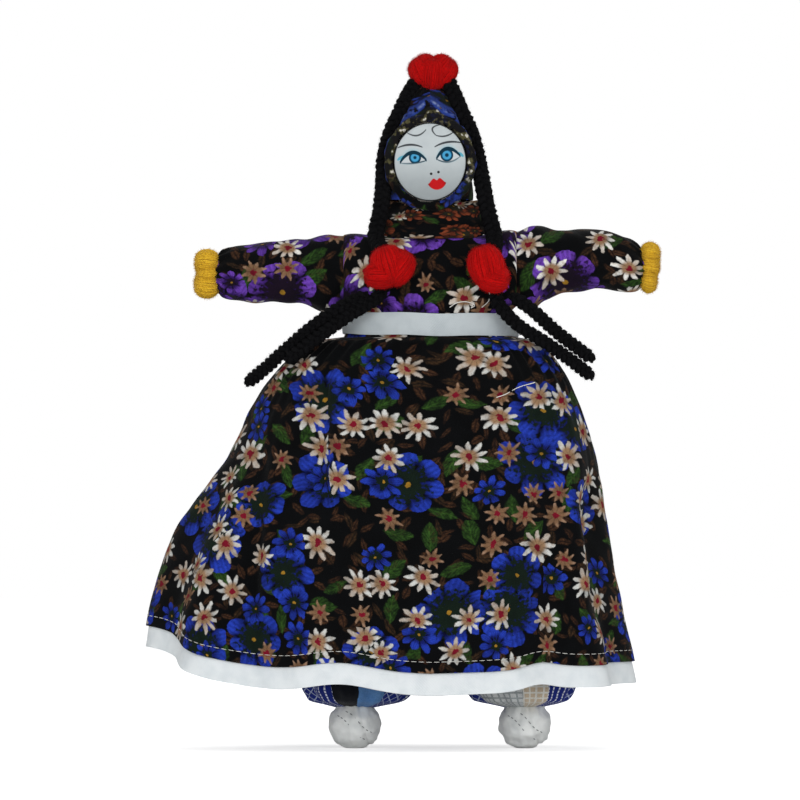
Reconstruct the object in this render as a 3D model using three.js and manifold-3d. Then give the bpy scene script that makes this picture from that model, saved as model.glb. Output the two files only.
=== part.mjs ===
// A folk doll of printed cotton: a stuffed body on a wooden spine, arms on a soft wire, stuffed
// trouser legs under a full skirt, a scarf-wrapped head with a painted face disc, and yarn braids.
// Millimetres, +Z up. The doll faces -Y. Left is the -X side, as a viewer in front sees it.
import * as THREE from "three";
import { mergeVertices } from "three/addons/utils/BufferGeometryUtils.js";
import Module from "manifold-3d";

const wasm = await Module();
wasm.setup();

// Fits and walls
const GAP = 0.3; // clearance between pieces that touch
const CLOTH = 1.0; // wall of a printed cotton cover
const TAPE = 0.9; // wall of the white cotton tape

// Feet
const FOOT_WIDTH = 18.6;
const FOOT_DEPTH = 26;
const FOOT_HEIGHT = 17.6; // from the sole up
const SOLE_CUT = 0.5; // how deep the ball of the foot is flattened underneath
const FOOT_X = { left: -27, right: 34 };
const FOOT_Y = -1; // both feet stand a little forward, under the doll's weight

// Trouser legs and seat
const LEG_LENGTH = 112; // sole to hip joint
const HIP_X = { left: -18, right: 22 };
const HIP_RADIUS = 16.5; // stuffed ball at the top of a leg
const LEG_PUFF = 40; // width of the baggy part above the ankle
const PUFF_RISE = 8; // from the gathered ankle up to the fullest part
const ANKLE_WIDTH = 14;
const ANKLE_TUCK = 3; // how far the foot goes up into the gathered ankle
const SEAT_EASE = 3.5; // room between a hip ball and the seat's cloth
const HIP_RISE = 40; // hip joint to the middle of the waistband

// Waist, skirt and hem
const WAIST_WIDTH = 58;
const WAIST_DEPTH = 37;
const WAISTBAND_HEIGHT = 8;
const SKIRT_LENGTH = 127; // printed cloth, top edge to bottom edge
const SKIRT_HIP_DROP = 26; // top edge to the crown of the gathers
const SKIRT_HIP = { left: 59, right: 51, front: 30, back: 30 };
const SKIRT_MIDDLE_DROP = 54;
const SKIRT_MIDDLE = { left: 73, right: 59.5, front: 37, back: 38 };
const SKIRT_LOW_DROP = 98;
const SKIRT_LOW = { left: 97, right: 66, front: 45, back: 47 };
const HEM_DEPTH = 102; // front to back at the hem
const SKIRT_HEM = { left: 103.5, right: 73.5, front: HEM_DEPTH / 2, back: HEM_DEPTH / 2 };
const HEM_SHOWN = 9; // white tape below the printed cloth
const HEM_TUCK = 5; // white tape behind the printed cloth
const HEM_LIFT = 13; // the left side of the hem swings up
const FOLD_COUNT = 10; // folds round the skirt
const FOLD_DEPTH = 7; // at the hem, on the sides and back
const FRONT_FOLD_SHARE = 0.3; // the front panel hangs flatter
// Creases down the front, each from a place across and a drop below the top edge to another
const CREASES = [
  { top: { x: -39.5, drop: 22 }, bottom: { x: -41, drop: 68 }, width: 4, depth: 3 },
  { top: { x: -62, drop: 52 }, bottom: { x: -68, drop: 111 }, width: 4.5, depth: 3.4 },
  { top: { x: 58, drop: 64 }, bottom: { x: 62, drop: 112 }, width: 4, depth: 2.6 },
];
const CREASE_RIDGE = 0.4; // share of a crease's depth that stands up beside it
const CREASE_FADE = 0.15; // share of its length over which it fades, before and after each end

// Bodice and arms
const UNDERARM_RISE = 4.5; // waistband to underarm
const CHEST_WIDTH = 74;
const CHEST_DEPTH = 38;
const SHOULDER_WIDTH = 64; // across the top of the bodice
const SHOULDER_INSET = 1; // shoulder joint inside the side of the chest
const ARM_HEIGHT = 23; // sleeve, top to bottom, at the shoulder
const ARM_DEPTH = 21;
const RIGHT_ARM_RAISE = 2.3; // the right sleeve is set in a little higher
const SLEEVE_REACH = 41; // shoulder joint to cuff
const CUFF_WIDTH = 12;
const SHOULDER_TOP = 1.5; // top of the left sleeve to the neckline
const HAND_LENGTH = 8.4;
const HAND_HEIGHT = 17.4;
const HAND_DEPTH = 16;

// Frame inside the body
const STICK_DIAMETER = 5;
const STICK_TUCK = 32; // how far the stick reaches down past the waistband
const WIRE_DIAMETER = 1.6;
const LASHING_HEIGHT = 8;
const LASHING_WALL = 2;

// Head
const NECK_WIDTH = 25;
const NECK_DEPTH = 22;
const NECK_LENGTH = 12; // neckline to chin
const NECK_WRAP_WIDTH = 33; // scarf end wrapped round the neck
const NECK_WRAP_DEPTH = 29;
const FACE_WIDTH = 26;
const FACE_LENGTH = 28;
const FACE_RIM = 1.8; // thickness of the face disc at its edge
const FACE_DOME = 1.9; // how far its middle stands out past its edge
const HEAD_WIDTH = 31; // over the scarf
const HEAD_DEPTH = 31;
const BRIM_ROLL = 3.2; // rolled edge of the scarf round the face
const CAP_RISE = 12; // top of the face to the tip of the scarf
const CAP_TIP_WIDTH = 6;

// Yarn
const BRAID_DIAMETER = 5.4;
const CROWN_POMPOM = { width: 18.4, depth: 16, height: 13 };
const CHEST_POMPOM = { width: 18.6, depth: 15, height: 16.4 };
const POMPOM_X = { left: -14.4, right: 21.5 };

// Facets
const BODY_SIDES = 24;
const BODY_FILL_SIDES = BODY_SIDES / 2; // its stuffing, out of sight
const SKIRT_SIDES = 96; // enough for the creases
const BAND_SIDES = SKIRT_SIDES / 2;
const LIMB_SIDES = 14;
const YARN_SIDES = 8;
const BALL_SIDES = 16;
const BALL_ROWS = 10;
const BODY_POWER = 2.4; // how square the waist, chest and skirt are from above
const HEAD_POWER = 3;

// Heights, from the floor up
const hipZ = LEG_LENGTH;
const waistZ = hipZ + HIP_RISE;
const bandTopZ = waistZ + WAISTBAND_HEIGHT / 2;
const underarmZ = bandTopZ + UNDERARM_RISE;
const armZ = {
  left: underarmZ + ARM_HEIGHT / 2,
  right: underarmZ + ARM_HEIGHT / 2 + RIGHT_ARM_RAISE,
};
const neckZ = underarmZ + ARM_HEIGHT + SHOULDER_TOP;
const chinZ = neckZ + NECK_LENGTH;
const faceZ = chinZ + FACE_LENGTH / 2;
const capTipZ = chinZ + FACE_LENGTH + CAP_RISE;
const waistSeamZ = waistZ - WAISTBAND_HEIGHT / 4; // where bodice and trousers meet, under the band

const SIDES = [
  { name: "left", sign: -1 },
  { name: "right", sign: 1 },
];
const shoulderX = CHEST_WIDTH / 2 - SHOULDER_INSET;
const braidRadius = BRAID_DIAMETER / 2;
const stickRadius = STICK_DIAMETER / 2;
const wireRadius = WIRE_DIAMETER / 2;
const armRadius = ARM_HEIGHT / 2;

// Materials
const finish = (color, roughness, metalness = 0) =>
  new THREE.MeshStandardMaterial({ color, roughness, metalness });
const SKIRT_PRINT = finish(0x1c1d2b, 0.9);
const BODICE_PRINT = finish(0x1d1824, 0.9);
const TROUSER_PRINT = finish(0x2a4a9a, 0.9);
const WHITE_TAPE = finish(0xdfe4e6, 0.8);
const WHITE_COTTON = finish(0xd3d6d7, 0.85);
const FACE_CLOTH = finish(0xcdd2d4, 0.8);
const BLACK_YARN = finish(0x0a0a0b, 0.95);
const RED_YARN = finish(0xd0130c, 0.9);
const YELLOW_YARN = finish(0xdcae22, 0.9);
const WADDING = finish(0xe8e2d4, 1);
const WOOD = finish(0xb88a58, 0.7);
const WIRE = finish(0x9a9da0, 0.4, 1);
const THREAD = finish(0xe6e2d8, 0.9);

// A smooth curve through [position, value] pairs that never overshoots them.
function profile(points) {
  const steps = points.slice(1).map((p, i) => (p[1] - points[i][1]) / (p[0] - points[i][0]));
  const slopes = points.map((_, i) => {
    const before = steps[Math.max(i - 1, 0)];
    const after = steps[Math.min(i, steps.length - 1)];
    return before * after > 0 ? (2 * before * after) / (before + after) : 0;
  });
  return (at) => {
    const found = points.findIndex((p) => p[0] >= at);
    const i = Math.max((found < 0 ? points.length : found) - 1, 0);
    const j = Math.min(i + 1, points.length - 1);
    const span = points[j][0] - points[i][0] || 1;
    const t = THREE.MathUtils.clamp((at - points[i][0]) / span, 0, 1);
    const rise = points[j][1] - points[i][1];
    const bend = (slopes[i] * span - rise) * (1 - t) + (rise - slopes[j] * span) * t;
    return points[i][1] + t * rise + t * (1 - t) * bend;
  };
}

// A level ring of points between an oval and a rectangle, anticlockwise from above.
function oval(sides, z, halfWidth, halfDepth, power = 2, x = 0, y = 0) {
  const rounded = (v) => Math.sign(v) * Math.abs(v) ** (2 / power);
  return Array.from({ length: sides }, (_, j) => {
    const angle = (j / sides) * 2 * Math.PI;
    const across = halfWidth * rounded(Math.cos(angle));
    return new THREE.Vector3(x + across, y + halfDepth * rounded(Math.sin(angle)), z);
  });
}

// A closed surface over rings that run upwards. Open ends are capped, or a loop joins last to first.
function skin(rings, loop = false) {
  const count = rings[0].length;
  const points = rings.flat();
  const triangles = [];
  const bands = loop ? rings.length : rings.length - 1;
  for (let i = 0; i < bands; i++) {
    const low = i * count;
    const high = ((i + 1) % rings.length) * count;
    for (let j = 0; j < count; j++) {
      const k = (j + 1) % count;
      triangles.push(low + j, low + k, high + k, low + j, high + k, high + j);
    }
  }
  if (!loop) {
    for (const end of [0, rings.length - 1]) {
      const middle = new THREE.Vector3();
      rings[end].forEach((p) => middle.addScaledVector(p, 1 / count));
      const hub = points.push(middle) - 1;
      for (let j = 0; j < count; j++) {
        const a = end * count + j;
        const b = end * count + ((j + 1) % count);
        triangles.push(...(end === 0 ? [hub, b, a] : [hub, a, b]));
      }
    }
  }
  return new THREE.BufferGeometry().setFromPoints(points).setIndex(triangles);
}

// A cloth cover: the rings at each station, and the same rings inset by the wall, joined at both ends.
function cover(ringAt, stations, wall) {
  const outside = stations.map((s) => ringAt(s, 0));
  const inside = stations.map((s) => ringAt(s, wall)).reverse();
  return skin([...outside, ...inside], true);
}

// The stuffing that fills a cover.
function filling(ringAt, stations, wall, sides) {
  return skin(stations.map((s) => ringAt(s, wall + GAP, sides)));
}

function stationsBetween(from, to, count) {
  return Array.from({ length: count + 1 }, (_, i) => THREE.MathUtils.lerp(from, to, i / count));
}

// Solids for joining and cutting
function toSolid(geometry) {
  const bare = geometry.clone();
  bare.deleteAttribute("normal");
  bare.deleteAttribute("uv");
  const merged = mergeVertices(bare, 1e-4);
  return new wasm.Manifold(
    new wasm.Mesh({
      numProp: 3,
      vertProperties: new Float32Array(merged.attributes.position.array),
      triVerts: new Uint32Array(merged.index.array),
    }),
  );
}

function fromSolid(solid) {
  const mesh = solid.getMesh();
  return new THREE.BufferGeometry()
    .setAttribute("position", new THREE.BufferAttribute(mesh.vertProperties, mesh.numProp))
    .setIndex(new THREE.BufferAttribute(mesh.triVerts, 1));
}

function cut(geometry, ...cutters) {
  return fromSolid(cutters.reduce((left, c) => left.subtract(toSolid(c)), toSolid(geometry)));
}

function join(...geometries) {
  return fromSolid(geometries.map(toSolid).reduce((whole, g) => whole.add(g)));
}

function ball(x, y, z, halfWidth, halfDepth = halfWidth, halfHeight = halfWidth) {
  return new THREE.SphereGeometry(1, BALL_SIDES, BALL_ROWS)
    .rotateX(Math.PI / 2)
    .scale(halfWidth, halfDepth, halfHeight)
    .translate(x, y, z);
}

// A hollow for a ball to turn in: its flats clear the ball by the gap.
function socket(x, y, z, radius) {
  const flats = Math.cos(Math.PI / BALL_SIDES) * Math.cos(Math.PI / (2 * BALL_ROWS));
  return ball(x, y, z, (radius + GAP) / flats);
}

// A round bar along Z.
function bar(radius, from, to, sides = YARN_SIDES) {
  return new THREE.CylinderGeometry(radius, radius, to - from, sides)
    .rotateX(Math.PI / 2)
    .translate(0, 0, (from + to) / 2);
}

// A tube of yarn or wire along points.
function tube(points, radius, steps) {
  const section = new THREE.Shape().absarc(0, 0, radius, 0, 2 * Math.PI);
  return new THREE.ExtrudeGeometry(section, {
    extrudePath: new THREE.CatmullRomCurve3(points.map((p) => new THREE.Vector3(...p))),
    steps,
    curveSegments: YARN_SIDES / 2,
  });
}

const doll = new THREE.Group();

function piece(name, geometry, material, parent = doll) {
  const mesh = new THREE.Mesh(geometry, material);
  mesh.name = name;
  parent.add(mesh);
  return mesh;
}

// Feet: cloth balls, flattened underneath
const footHalfHeight = (FOOT_HEIGHT + SOLE_CUT) / 2;
const footZ = footHalfHeight - SOLE_CUT;

function footBall(x, grow) {
  return ball(x, FOOT_Y, footZ, FOOT_WIDTH / 2 + grow, FOOT_DEPTH / 2 + grow, footHalfHeight + grow);
}

function foot(side) {
  const geometry = footBall(FOOT_X[side.name], 0);
  const place = geometry.attributes.position;
  for (let i = 0; i < place.count; i++) place.setZ(i, Math.max(place.getZ(i), 0));
  piece(`foot_${side.name}`, geometry, WHITE_COTTON);
}

// Trouser legs: baggy, gathered at the ankle, with a ball of stuffing at the hip
const ankleZ = FOOT_HEIGHT - ANKLE_TUCK;
const puffZ = ankleZ + PUFF_RISE;
const legRadius = profile([
  [ankleZ, ANKLE_WIDTH / 2],
  [ankleZ + PUFF_RISE / 3, THREE.MathUtils.lerp(ANKLE_WIDTH, LEG_PUFF, 0.78) / 2],
  [puffZ, LEG_PUFF / 2],
  [THREE.MathUtils.lerp(puffZ, hipZ, 0.4), THREE.MathUtils.lerp(LEG_PUFF / 2, HIP_RADIUS, 0.3)],
  [hipZ, HIP_RADIUS],
]);
const HIP_CAP_ANGLES = [30, 60];

function legRing(side, station, inset) {
  const share = THREE.MathUtils.clamp((station.z - footZ) / (hipZ - footZ), 0, 1);
  const x = THREE.MathUtils.lerp(FOOT_X[side.name], HIP_X[side.name], share);
  const y = THREE.MathUtils.lerp(FOOT_Y, 0, share);
  const angle = THREE.MathUtils.degToRad(station.cap ?? 0);
  const radius = station.cap ? HIP_RADIUS * Math.cos(angle) : legRadius(station.z);
  const drop = station.cap ? inset * Math.sin(angle) : 0;
  const held = inset * (station.cap ? Math.cos(angle) : 1);
  return oval(LIMB_SIDES, station.z - drop, radius - held, radius - held, 2, x, y);
}

const legStations = [
  ...[0, 0.2, 0.5, 1].map((t) => ({ z: THREE.MathUtils.lerp(ankleZ, puffZ, t) })),
  ...[0.33, 0.67, 1].map((t) => ({ z: THREE.MathUtils.lerp(puffZ, hipZ, t) })),
  ...HIP_CAP_ANGLES.map((cap) => ({
    z: hipZ + HIP_RADIUS * Math.sin(THREE.MathUtils.degToRad(cap)),
    cap,
  })),
];

function leg(side) {
  const ringAt = (station, inset) => legRing(side, station, inset);
  const clearOfFoot = footBall(FOOT_X[side.name], GAP);
  const trousers = cut(cover(ringAt, legStations, CLOTH), clearOfFoot);
  piece(`trouser_leg_${side.name}`, trousers, TROUSER_PRINT);
  const stuffing = cut(filling(ringAt, legStations, CLOTH), clearOfFoot);
  piece(`leg_stuffing_${side.name}`, stuffing, WADDING);
}

// Trouser seat: from the hips to the waist, with room for both hip balls
const hipMiddleX = (HIP_X.left + HIP_X.right) / 2;
const seatWidth = HIP_X.right - HIP_X.left + 2 * (HIP_RADIUS + SEAT_EASE);
const seatDepth = 2 * (HIP_RADIUS + SEAT_EASE);
const seatNarrowZ = waistZ - WAISTBAND_HEIGHT; // above this the seat is as narrow as the waist
const seatHalfWidth = profile([
  [hipZ, seatWidth / 2],
  [hipZ + HIP_RISE / 2, THREE.MathUtils.lerp(seatWidth, WAIST_WIDTH, 0.25) / 2],
  [seatNarrowZ, WAIST_WIDTH / 2 - GAP],
  [waistSeamZ, WAIST_WIDTH / 2 - GAP],
]);
const seatHalfDepth = profile([
  [hipZ, seatDepth / 2],
  [seatNarrowZ, WAIST_DEPTH / 2 - GAP],
  [waistSeamZ, WAIST_DEPTH / 2 - GAP],
]);

function seatRing(z, inset, sides = BODY_SIDES) {
  const x = THREE.MathUtils.lerp(hipMiddleX, 0, (z - hipZ) / (waistSeamZ - hipZ));
  return oval(sides, z, seatHalfWidth(z) - inset, seatHalfDepth(z) - inset, BODY_POWER, x);
}

const stickBottomZ = waistZ - STICK_TUCK;
const stickTopZ = faceZ + FACE_LENGTH / 2;
const stickHole = bar(stickRadius + GAP, stickBottomZ - GAP, stickTopZ + GAP, 12);

function seat() {
  const stations = [...stationsBetween(hipZ, seatNarrowZ, 2), waistSeamZ - GAP];
  const hips = SIDES.map((side) => socket(HIP_X[side.name], 0, hipZ, HIP_RADIUS));
  piece("trouser_seat", cut(cover(seatRing, stations, CLOTH), ...hips), TROUSER_PRINT);
  const stuffed = filling(seatRing, stations, CLOTH + GAP, BODY_FILL_SIDES);
  piece("hip_stuffing", cut(stuffed, ...hips, stickHole), WADDING);
}

// Skirt: gathered under the waistband, full over the hips, with the left side swung out and up
const skirtTopZ = bandTopZ;
const hemDrop = SKIRT_LENGTH + HEM_SHOWN;
const skirtWaist = GAP + CLOTH;
const WAIST_HALF = {
  left: WAIST_WIDTH / 2 + skirtWaist,
  right: WAIST_WIDTH / 2 + skirtWaist,
  front: WAIST_DEPTH / 2 + skirtWaist,
  back: WAIST_DEPTH / 2 + skirtWaist,
};
const skirtPuffDrop = THREE.MathUtils.lerp(WAISTBAND_HEIGHT, SKIRT_HIP_DROP, 0.3);
const skirtReach = Object.fromEntries(
  Object.keys(WAIST_HALF).map((way) => [
    way,
    profile([
      [0, WAIST_HALF[way]],
      [WAISTBAND_HEIGHT + GAP, WAIST_HALF[way]],
      [skirtPuffDrop, THREE.MathUtils.lerp(WAIST_HALF[way], SKIRT_HIP[way], 0.55)],
      [SKIRT_HIP_DROP, SKIRT_HIP[way]],
      [SKIRT_MIDDLE_DROP, SKIRT_MIDDLE[way]],
      [SKIRT_LOW_DROP, SKIRT_LOW[way]],
      [hemDrop, SKIRT_HEM[way]],
    ]),
  ]),
);

// A fold goes inwards from the skirt's outline, and none shows under the waistband.
function foldAt(angle, drop) {
  const flat = Math.exp(-(((angle - 1.5 * Math.PI) / 0.9) ** 2)); // 1 in the middle of the front
  const share = 1 - (1 - FRONT_FOLD_SHARE) * flat;
  const grown = THREE.MathUtils.smoothstep(drop, WAISTBAND_HEIGHT + GAP, hemDrop);
  return (FOLD_DEPTH / 2) * share * grown * (1 - Math.cos(FOLD_COUNT * angle));
}

// How far the creases take the front inwards, or outwards where a ridge stands beside one.
function creaseAt(x, drop) {
  const { lerp, smoothstep } = THREE.MathUtils;
  return CREASES.reduce((sum, { top, bottom, width, depth }) => {
    const share = (drop - top.drop) / (bottom.drop - top.drop);
    const run = (x - lerp(top.x, bottom.x, share)) / width;
    const starts = smoothstep(share, -CREASE_FADE, CREASE_FADE);
    const ends = 1 - smoothstep(share, 1 - CREASE_FADE, 1 + CREASE_FADE);
    const valley = Math.exp(-(run ** 2)) - CREASE_RIDGE * Math.exp(-((run - 1.6) ** 2));
    return sum + depth * starts * ends * valley;
  }, 0);
}

function skirtRing(drop, inset) {
  const power = 2 / BODY_POWER;
  return Array.from({ length: SKIRT_SIDES }, (_, j) => {
    const angle = (j / SKIRT_SIDES) * 2 * Math.PI;
    const c = Math.cos(angle);
    const s = Math.sin(angle);
    const reach = skirtReach[c < 0 ? "left" : "right"](drop);
    const across = reach - inset;
    const along = skirtReach[s < 0 ? "front" : "back"](drop) - inset;
    const front = THREE.MathUtils.smoothstep(-s, 0, 0.35);
    const crease = front * creaseAt(reach * Math.sign(c) * Math.abs(c) ** power, drop);
    const fold = foldAt(angle, drop) + crease;
    const swung = THREE.MathUtils.smoothstep(drop, skirtPuffDrop, hemDrop);
    const lift = HEM_LIFT * swung * Math.max(-c, 0) ** 5;
    return new THREE.Vector3(
      across * Math.sign(c) * Math.abs(c) ** power - fold * c,
      along * Math.sign(s) * Math.abs(s) ** power - fold * s,
      skirtTopZ - drop + lift,
    );
  });
}

function skirt() {
  const drops = [
    SKIRT_LENGTH,
    SKIRT_LENGTH - HEM_TUCK,
    SKIRT_LOW_DROP,
    THREE.MathUtils.lerp(SKIRT_MIDDLE_DROP, SKIRT_LOW_DROP, 0.5),
    SKIRT_MIDDLE_DROP,
    THREE.MathUtils.lerp(SKIRT_HIP_DROP, SKIRT_MIDDLE_DROP, 0.5),
    SKIRT_HIP_DROP,
    skirtPuffDrop,
    WAISTBAND_HEIGHT + GAP,
    0,
  ];
  piece("skirt", cover(skirtRing, drops, CLOTH), SKIRT_PRINT);
  const hemRing = (drop, inset) => skirtRing(drop, CLOTH + GAP + inset);
  const hem = cover(hemRing, [hemDrop, SKIRT_LENGTH, SKIRT_LENGTH - HEM_TUCK], TAPE);
  piece("hem_band", hem, WHITE_TAPE);
  const bandRing = (z, inset) => {
    const grow = GAP + TAPE - inset;
    return oval(BAND_SIDES, z, WAIST_HALF.left + grow, WAIST_HALF.front + grow, BODY_POWER);
  };
  const band = cover(bandRing, [waistZ - WAISTBAND_HEIGHT / 2, bandTopZ], TAPE);
  piece("waistband", band, WHITE_TAPE);
}

// Bodice: from the waist to the neckline, cut away where the sleeves are set in
const shoulderLineZ = armZ.left + armRadius * 0.8;
const bodiceHalfWidth = profile([
  [waistSeamZ, WAIST_WIDTH / 2],
  [bandTopZ, WAIST_WIDTH / 2],
  [underarmZ, THREE.MathUtils.lerp(WAIST_WIDTH, CHEST_WIDTH, 0.5) / 2],
  [armZ.left, CHEST_WIDTH / 2],
  [shoulderLineZ, SHOULDER_WIDTH / 2],
  [neckZ - GAP, NECK_WIDTH / 2 + GAP + CLOTH],
]);
const bodiceHalfDepth = profile([
  [waistSeamZ, WAIST_DEPTH / 2],
  [bandTopZ, WAIST_DEPTH / 2],
  [armZ.left, CHEST_DEPTH / 2],
  [neckZ - GAP, NECK_DEPTH / 2 + GAP + CLOTH],
]);

function bodiceRing(z, inset, sides = BODY_SIDES) {
  return oval(sides, z, bodiceHalfWidth(z) - inset, bodiceHalfDepth(z) - inset, BODY_POWER);
}

// The frame inside: a stick up the middle, and a wire from shoulder to shoulder lashed to it
const wireY = -(stickRadius + wireRadius + GAP);
const wireZ = (armZ.left + armZ.right) / 2;
const wireEndX = shoulderX - armRadius - 3 * GAP;
const WIRE_STEPS = 8;

function wireTube(grow) {
  const endX = wireEndX + grow;
  const points = [
    [-endX, wireY, armZ.left],
    [-wireEndX / 2, wireY, wireZ],
    [wireEndX / 2, wireY, wireZ],
    [endX, wireY, armZ.right],
  ];
  return tube(points, wireRadius + grow, WIRE_STEPS);
}

function lashingBlock(grow) {
  const front = wireY - wireRadius - LASHING_WALL - grow;
  const back = stickRadius + LASHING_WALL + grow;
  const halfWidth = stickRadius + LASHING_WALL + grow;
  const ends = [wireZ - LASHING_HEIGHT / 2 - grow, wireZ + LASHING_HEIGHT / 2 + grow];
  const y = (front + back) / 2;
  return skin(ends.map((z) => oval(LIMB_SIDES, z, halfWidth, (back - front) / 2, 2, 0, y)));
}

function torso() {
  const stations = [
    waistSeamZ,
    bandTopZ,
    underarmZ,
    armZ.left,
    ...stationsBetween(shoulderLineZ, neckZ - GAP, 2),
  ];
  const shoulders = SIDES.map((side) =>
    socket(side.sign * shoulderX, 0, armZ[side.name], armRadius),
  );
  piece("bodice", cut(cover(bodiceRing, stations, CLOTH), ...shoulders), BODICE_PRINT);
  const wireHole = wireTube(GAP);
  const stuffing = filling(bodiceRing, stations, CLOTH + GAP, BODY_FILL_SIDES);
  const cleared = cut(stuffing, ...shoulders, stickHole, wireHole, lashingBlock(GAP));
  piece("torso_stuffing", cleared, WADDING);
  piece("spine_stick", bar(stickRadius, stickBottomZ, stickTopZ, 12), WOOD);
  piece("arm_wire_middle", wireTube(0), WIRE);
  piece("wire_lashing", cut(lashingBlock(0), stickHole, wireHole), THREAD);
}

// Arms: built along Z from the shoulder joint outwards, then turned to point sideways
const SHOULDER_CAP_ANGLES = [60, 30];
const cuffRadius = CUFF_WIDTH / 2;
const sleeveRadius = profile([
  [0, armRadius],
  [SLEEVE_REACH * 0.35, armRadius],
  [SLEEVE_REACH * 0.7, armRadius * 0.91],
  [SLEEVE_REACH * 0.9, armRadius * 0.82],
  [SLEEVE_REACH * 0.97, THREE.MathUtils.lerp(cuffRadius, armRadius * 0.82, 0.5)],
  [SLEEVE_REACH, cuffRadius],
]);
const sleeveStations = [
  ...SHOULDER_CAP_ANGLES.map((cap) => ({
    z: -armRadius * Math.sin(THREE.MathUtils.degToRad(cap)),
    cap,
  })),
  ...[0, 0.35, 0.65, 0.9, 0.97, 1].map((t) => ({ z: SLEEVE_REACH * t })),
];

function sleeveRing(station, inset) {
  const angle = THREE.MathUtils.degToRad(station.cap ?? 0);
  const radius = station.cap ? armRadius * Math.cos(angle) : sleeveRadius(station.z);
  const held = inset * Math.cos(angle);
  const flatter = ARM_DEPTH / ARM_HEIGHT;
  const z = station.z + inset * Math.sin(angle);
  return oval(LIMB_SIDES, z, radius - held, radius * flatter - held);
}

const handHalf = profile([
  [0, cuffRadius / HAND_HEIGHT],
  [0.2, 0.43],
  [0.5, 0.5],
  [0.8, 0.4],
  [1, 0.16],
]);

function arm(side) {
  const group = new THREE.Group();
  group.position.set(side.sign * shoulderX, 0, armZ[side.name]);
  group.rotation.y = (side.sign * Math.PI) / 2;
  doll.add(group);
  piece(`sleeve_${side.name}`, cover(sleeveRing, sleeveStations, CLOTH), BODICE_PRINT, group);
  const wireFrom = -armRadius * Math.cos(THREE.MathUtils.degToRad(90 - SHOULDER_CAP_ANGLES[0]));
  const wireTo = SLEEVE_REACH * 0.9;
  const wireHole = bar(wireRadius + GAP, wireFrom - armRadius, wireTo + GAP);
  const stuffing = filling(sleeveRing, sleeveStations, CLOTH);
  piece(`arm_stuffing_${side.name}`, cut(stuffing, wireHole), WADDING, group);
  piece(`arm_wire_${side.name}`, bar(wireRadius, wireFrom, wireTo), WIRE, group);
  const handRings = [0, 0.15, 0.5, 0.8, 1].map((t) => {
    const z = SLEEVE_REACH + GAP + HAND_LENGTH * t;
    return oval(LIMB_SIDES, z, handHalf(t) * HAND_HEIGHT, handHalf(t) * HAND_DEPTH);
  });
  piece(`hand_${side.name}`, skin(handRings), YELLOW_YARN, group);
}

// Head: stuffing on the stick, a domed face disc in front, and a scarf over all that rises to a tip
const headHalfWidth = profile([
  [chinZ, HEAD_WIDTH * 0.46],
  [faceZ, HEAD_WIDTH / 2],
  [faceZ + FACE_LENGTH * 0.25, HEAD_WIDTH * 0.45],
  [faceZ + FACE_LENGTH * 0.55, HEAD_WIDTH * 0.33],
  [capTipZ - CAP_RISE * 0.35, HEAD_WIDTH * 0.22],
  [capTipZ, CAP_TIP_WIDTH / 2],
]);
const headDepthShare = HEAD_DEPTH / HEAD_WIDTH;

function headRing(z, inset) {
  const half = headHalfWidth(z);
  return oval(BODY_SIDES, z, half - inset, half * headDepthShare - inset, HEAD_POWER);
}

const headStations = stationsBetween(chinZ, capTipZ, 6);
const brimRadius = BRIM_ROLL / 2;
const faceBackY = -HEAD_DEPTH / 2 + FACE_RIM + FACE_DOME - GAP;

// An oval bar through the front of the head, as wide as the face and a little more.
function faceOpening(grow, backY) {
  const frontY = -HEAD_DEPTH;
  return new THREE.CylinderGeometry(1, 1, backY - frontY, BODY_SIDES)
    .scale(FACE_WIDTH / 2 + grow, 1, FACE_LENGTH / 2 + grow)
    .translate(0, (backY + frontY) / 2, faceZ);
}

function brim() {
  const rings = Array.from({ length: BODY_SIDES }, (_, i) => {
    const along = (i / BODY_SIDES) * 2 * Math.PI;
    const out = new THREE.Vector3(Math.cos(along), 0, Math.sin(along));
    return Array.from({ length: YARN_SIDES }, (_, j) => {
      const turn = (j / YARN_SIDES) * 2 * Math.PI;
      const grow = GAP + brimRadius + brimRadius * Math.cos(turn);
      return new THREE.Vector3(
        out.x * (FACE_WIDTH / 2 + grow),
        faceBackY - FACE_RIM / 2 + brimRadius * Math.sin(turn),
        faceZ + out.z * (FACE_LENGTH / 2 + grow),
      );
    });
  });
  return skin(rings, true);
}

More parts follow.
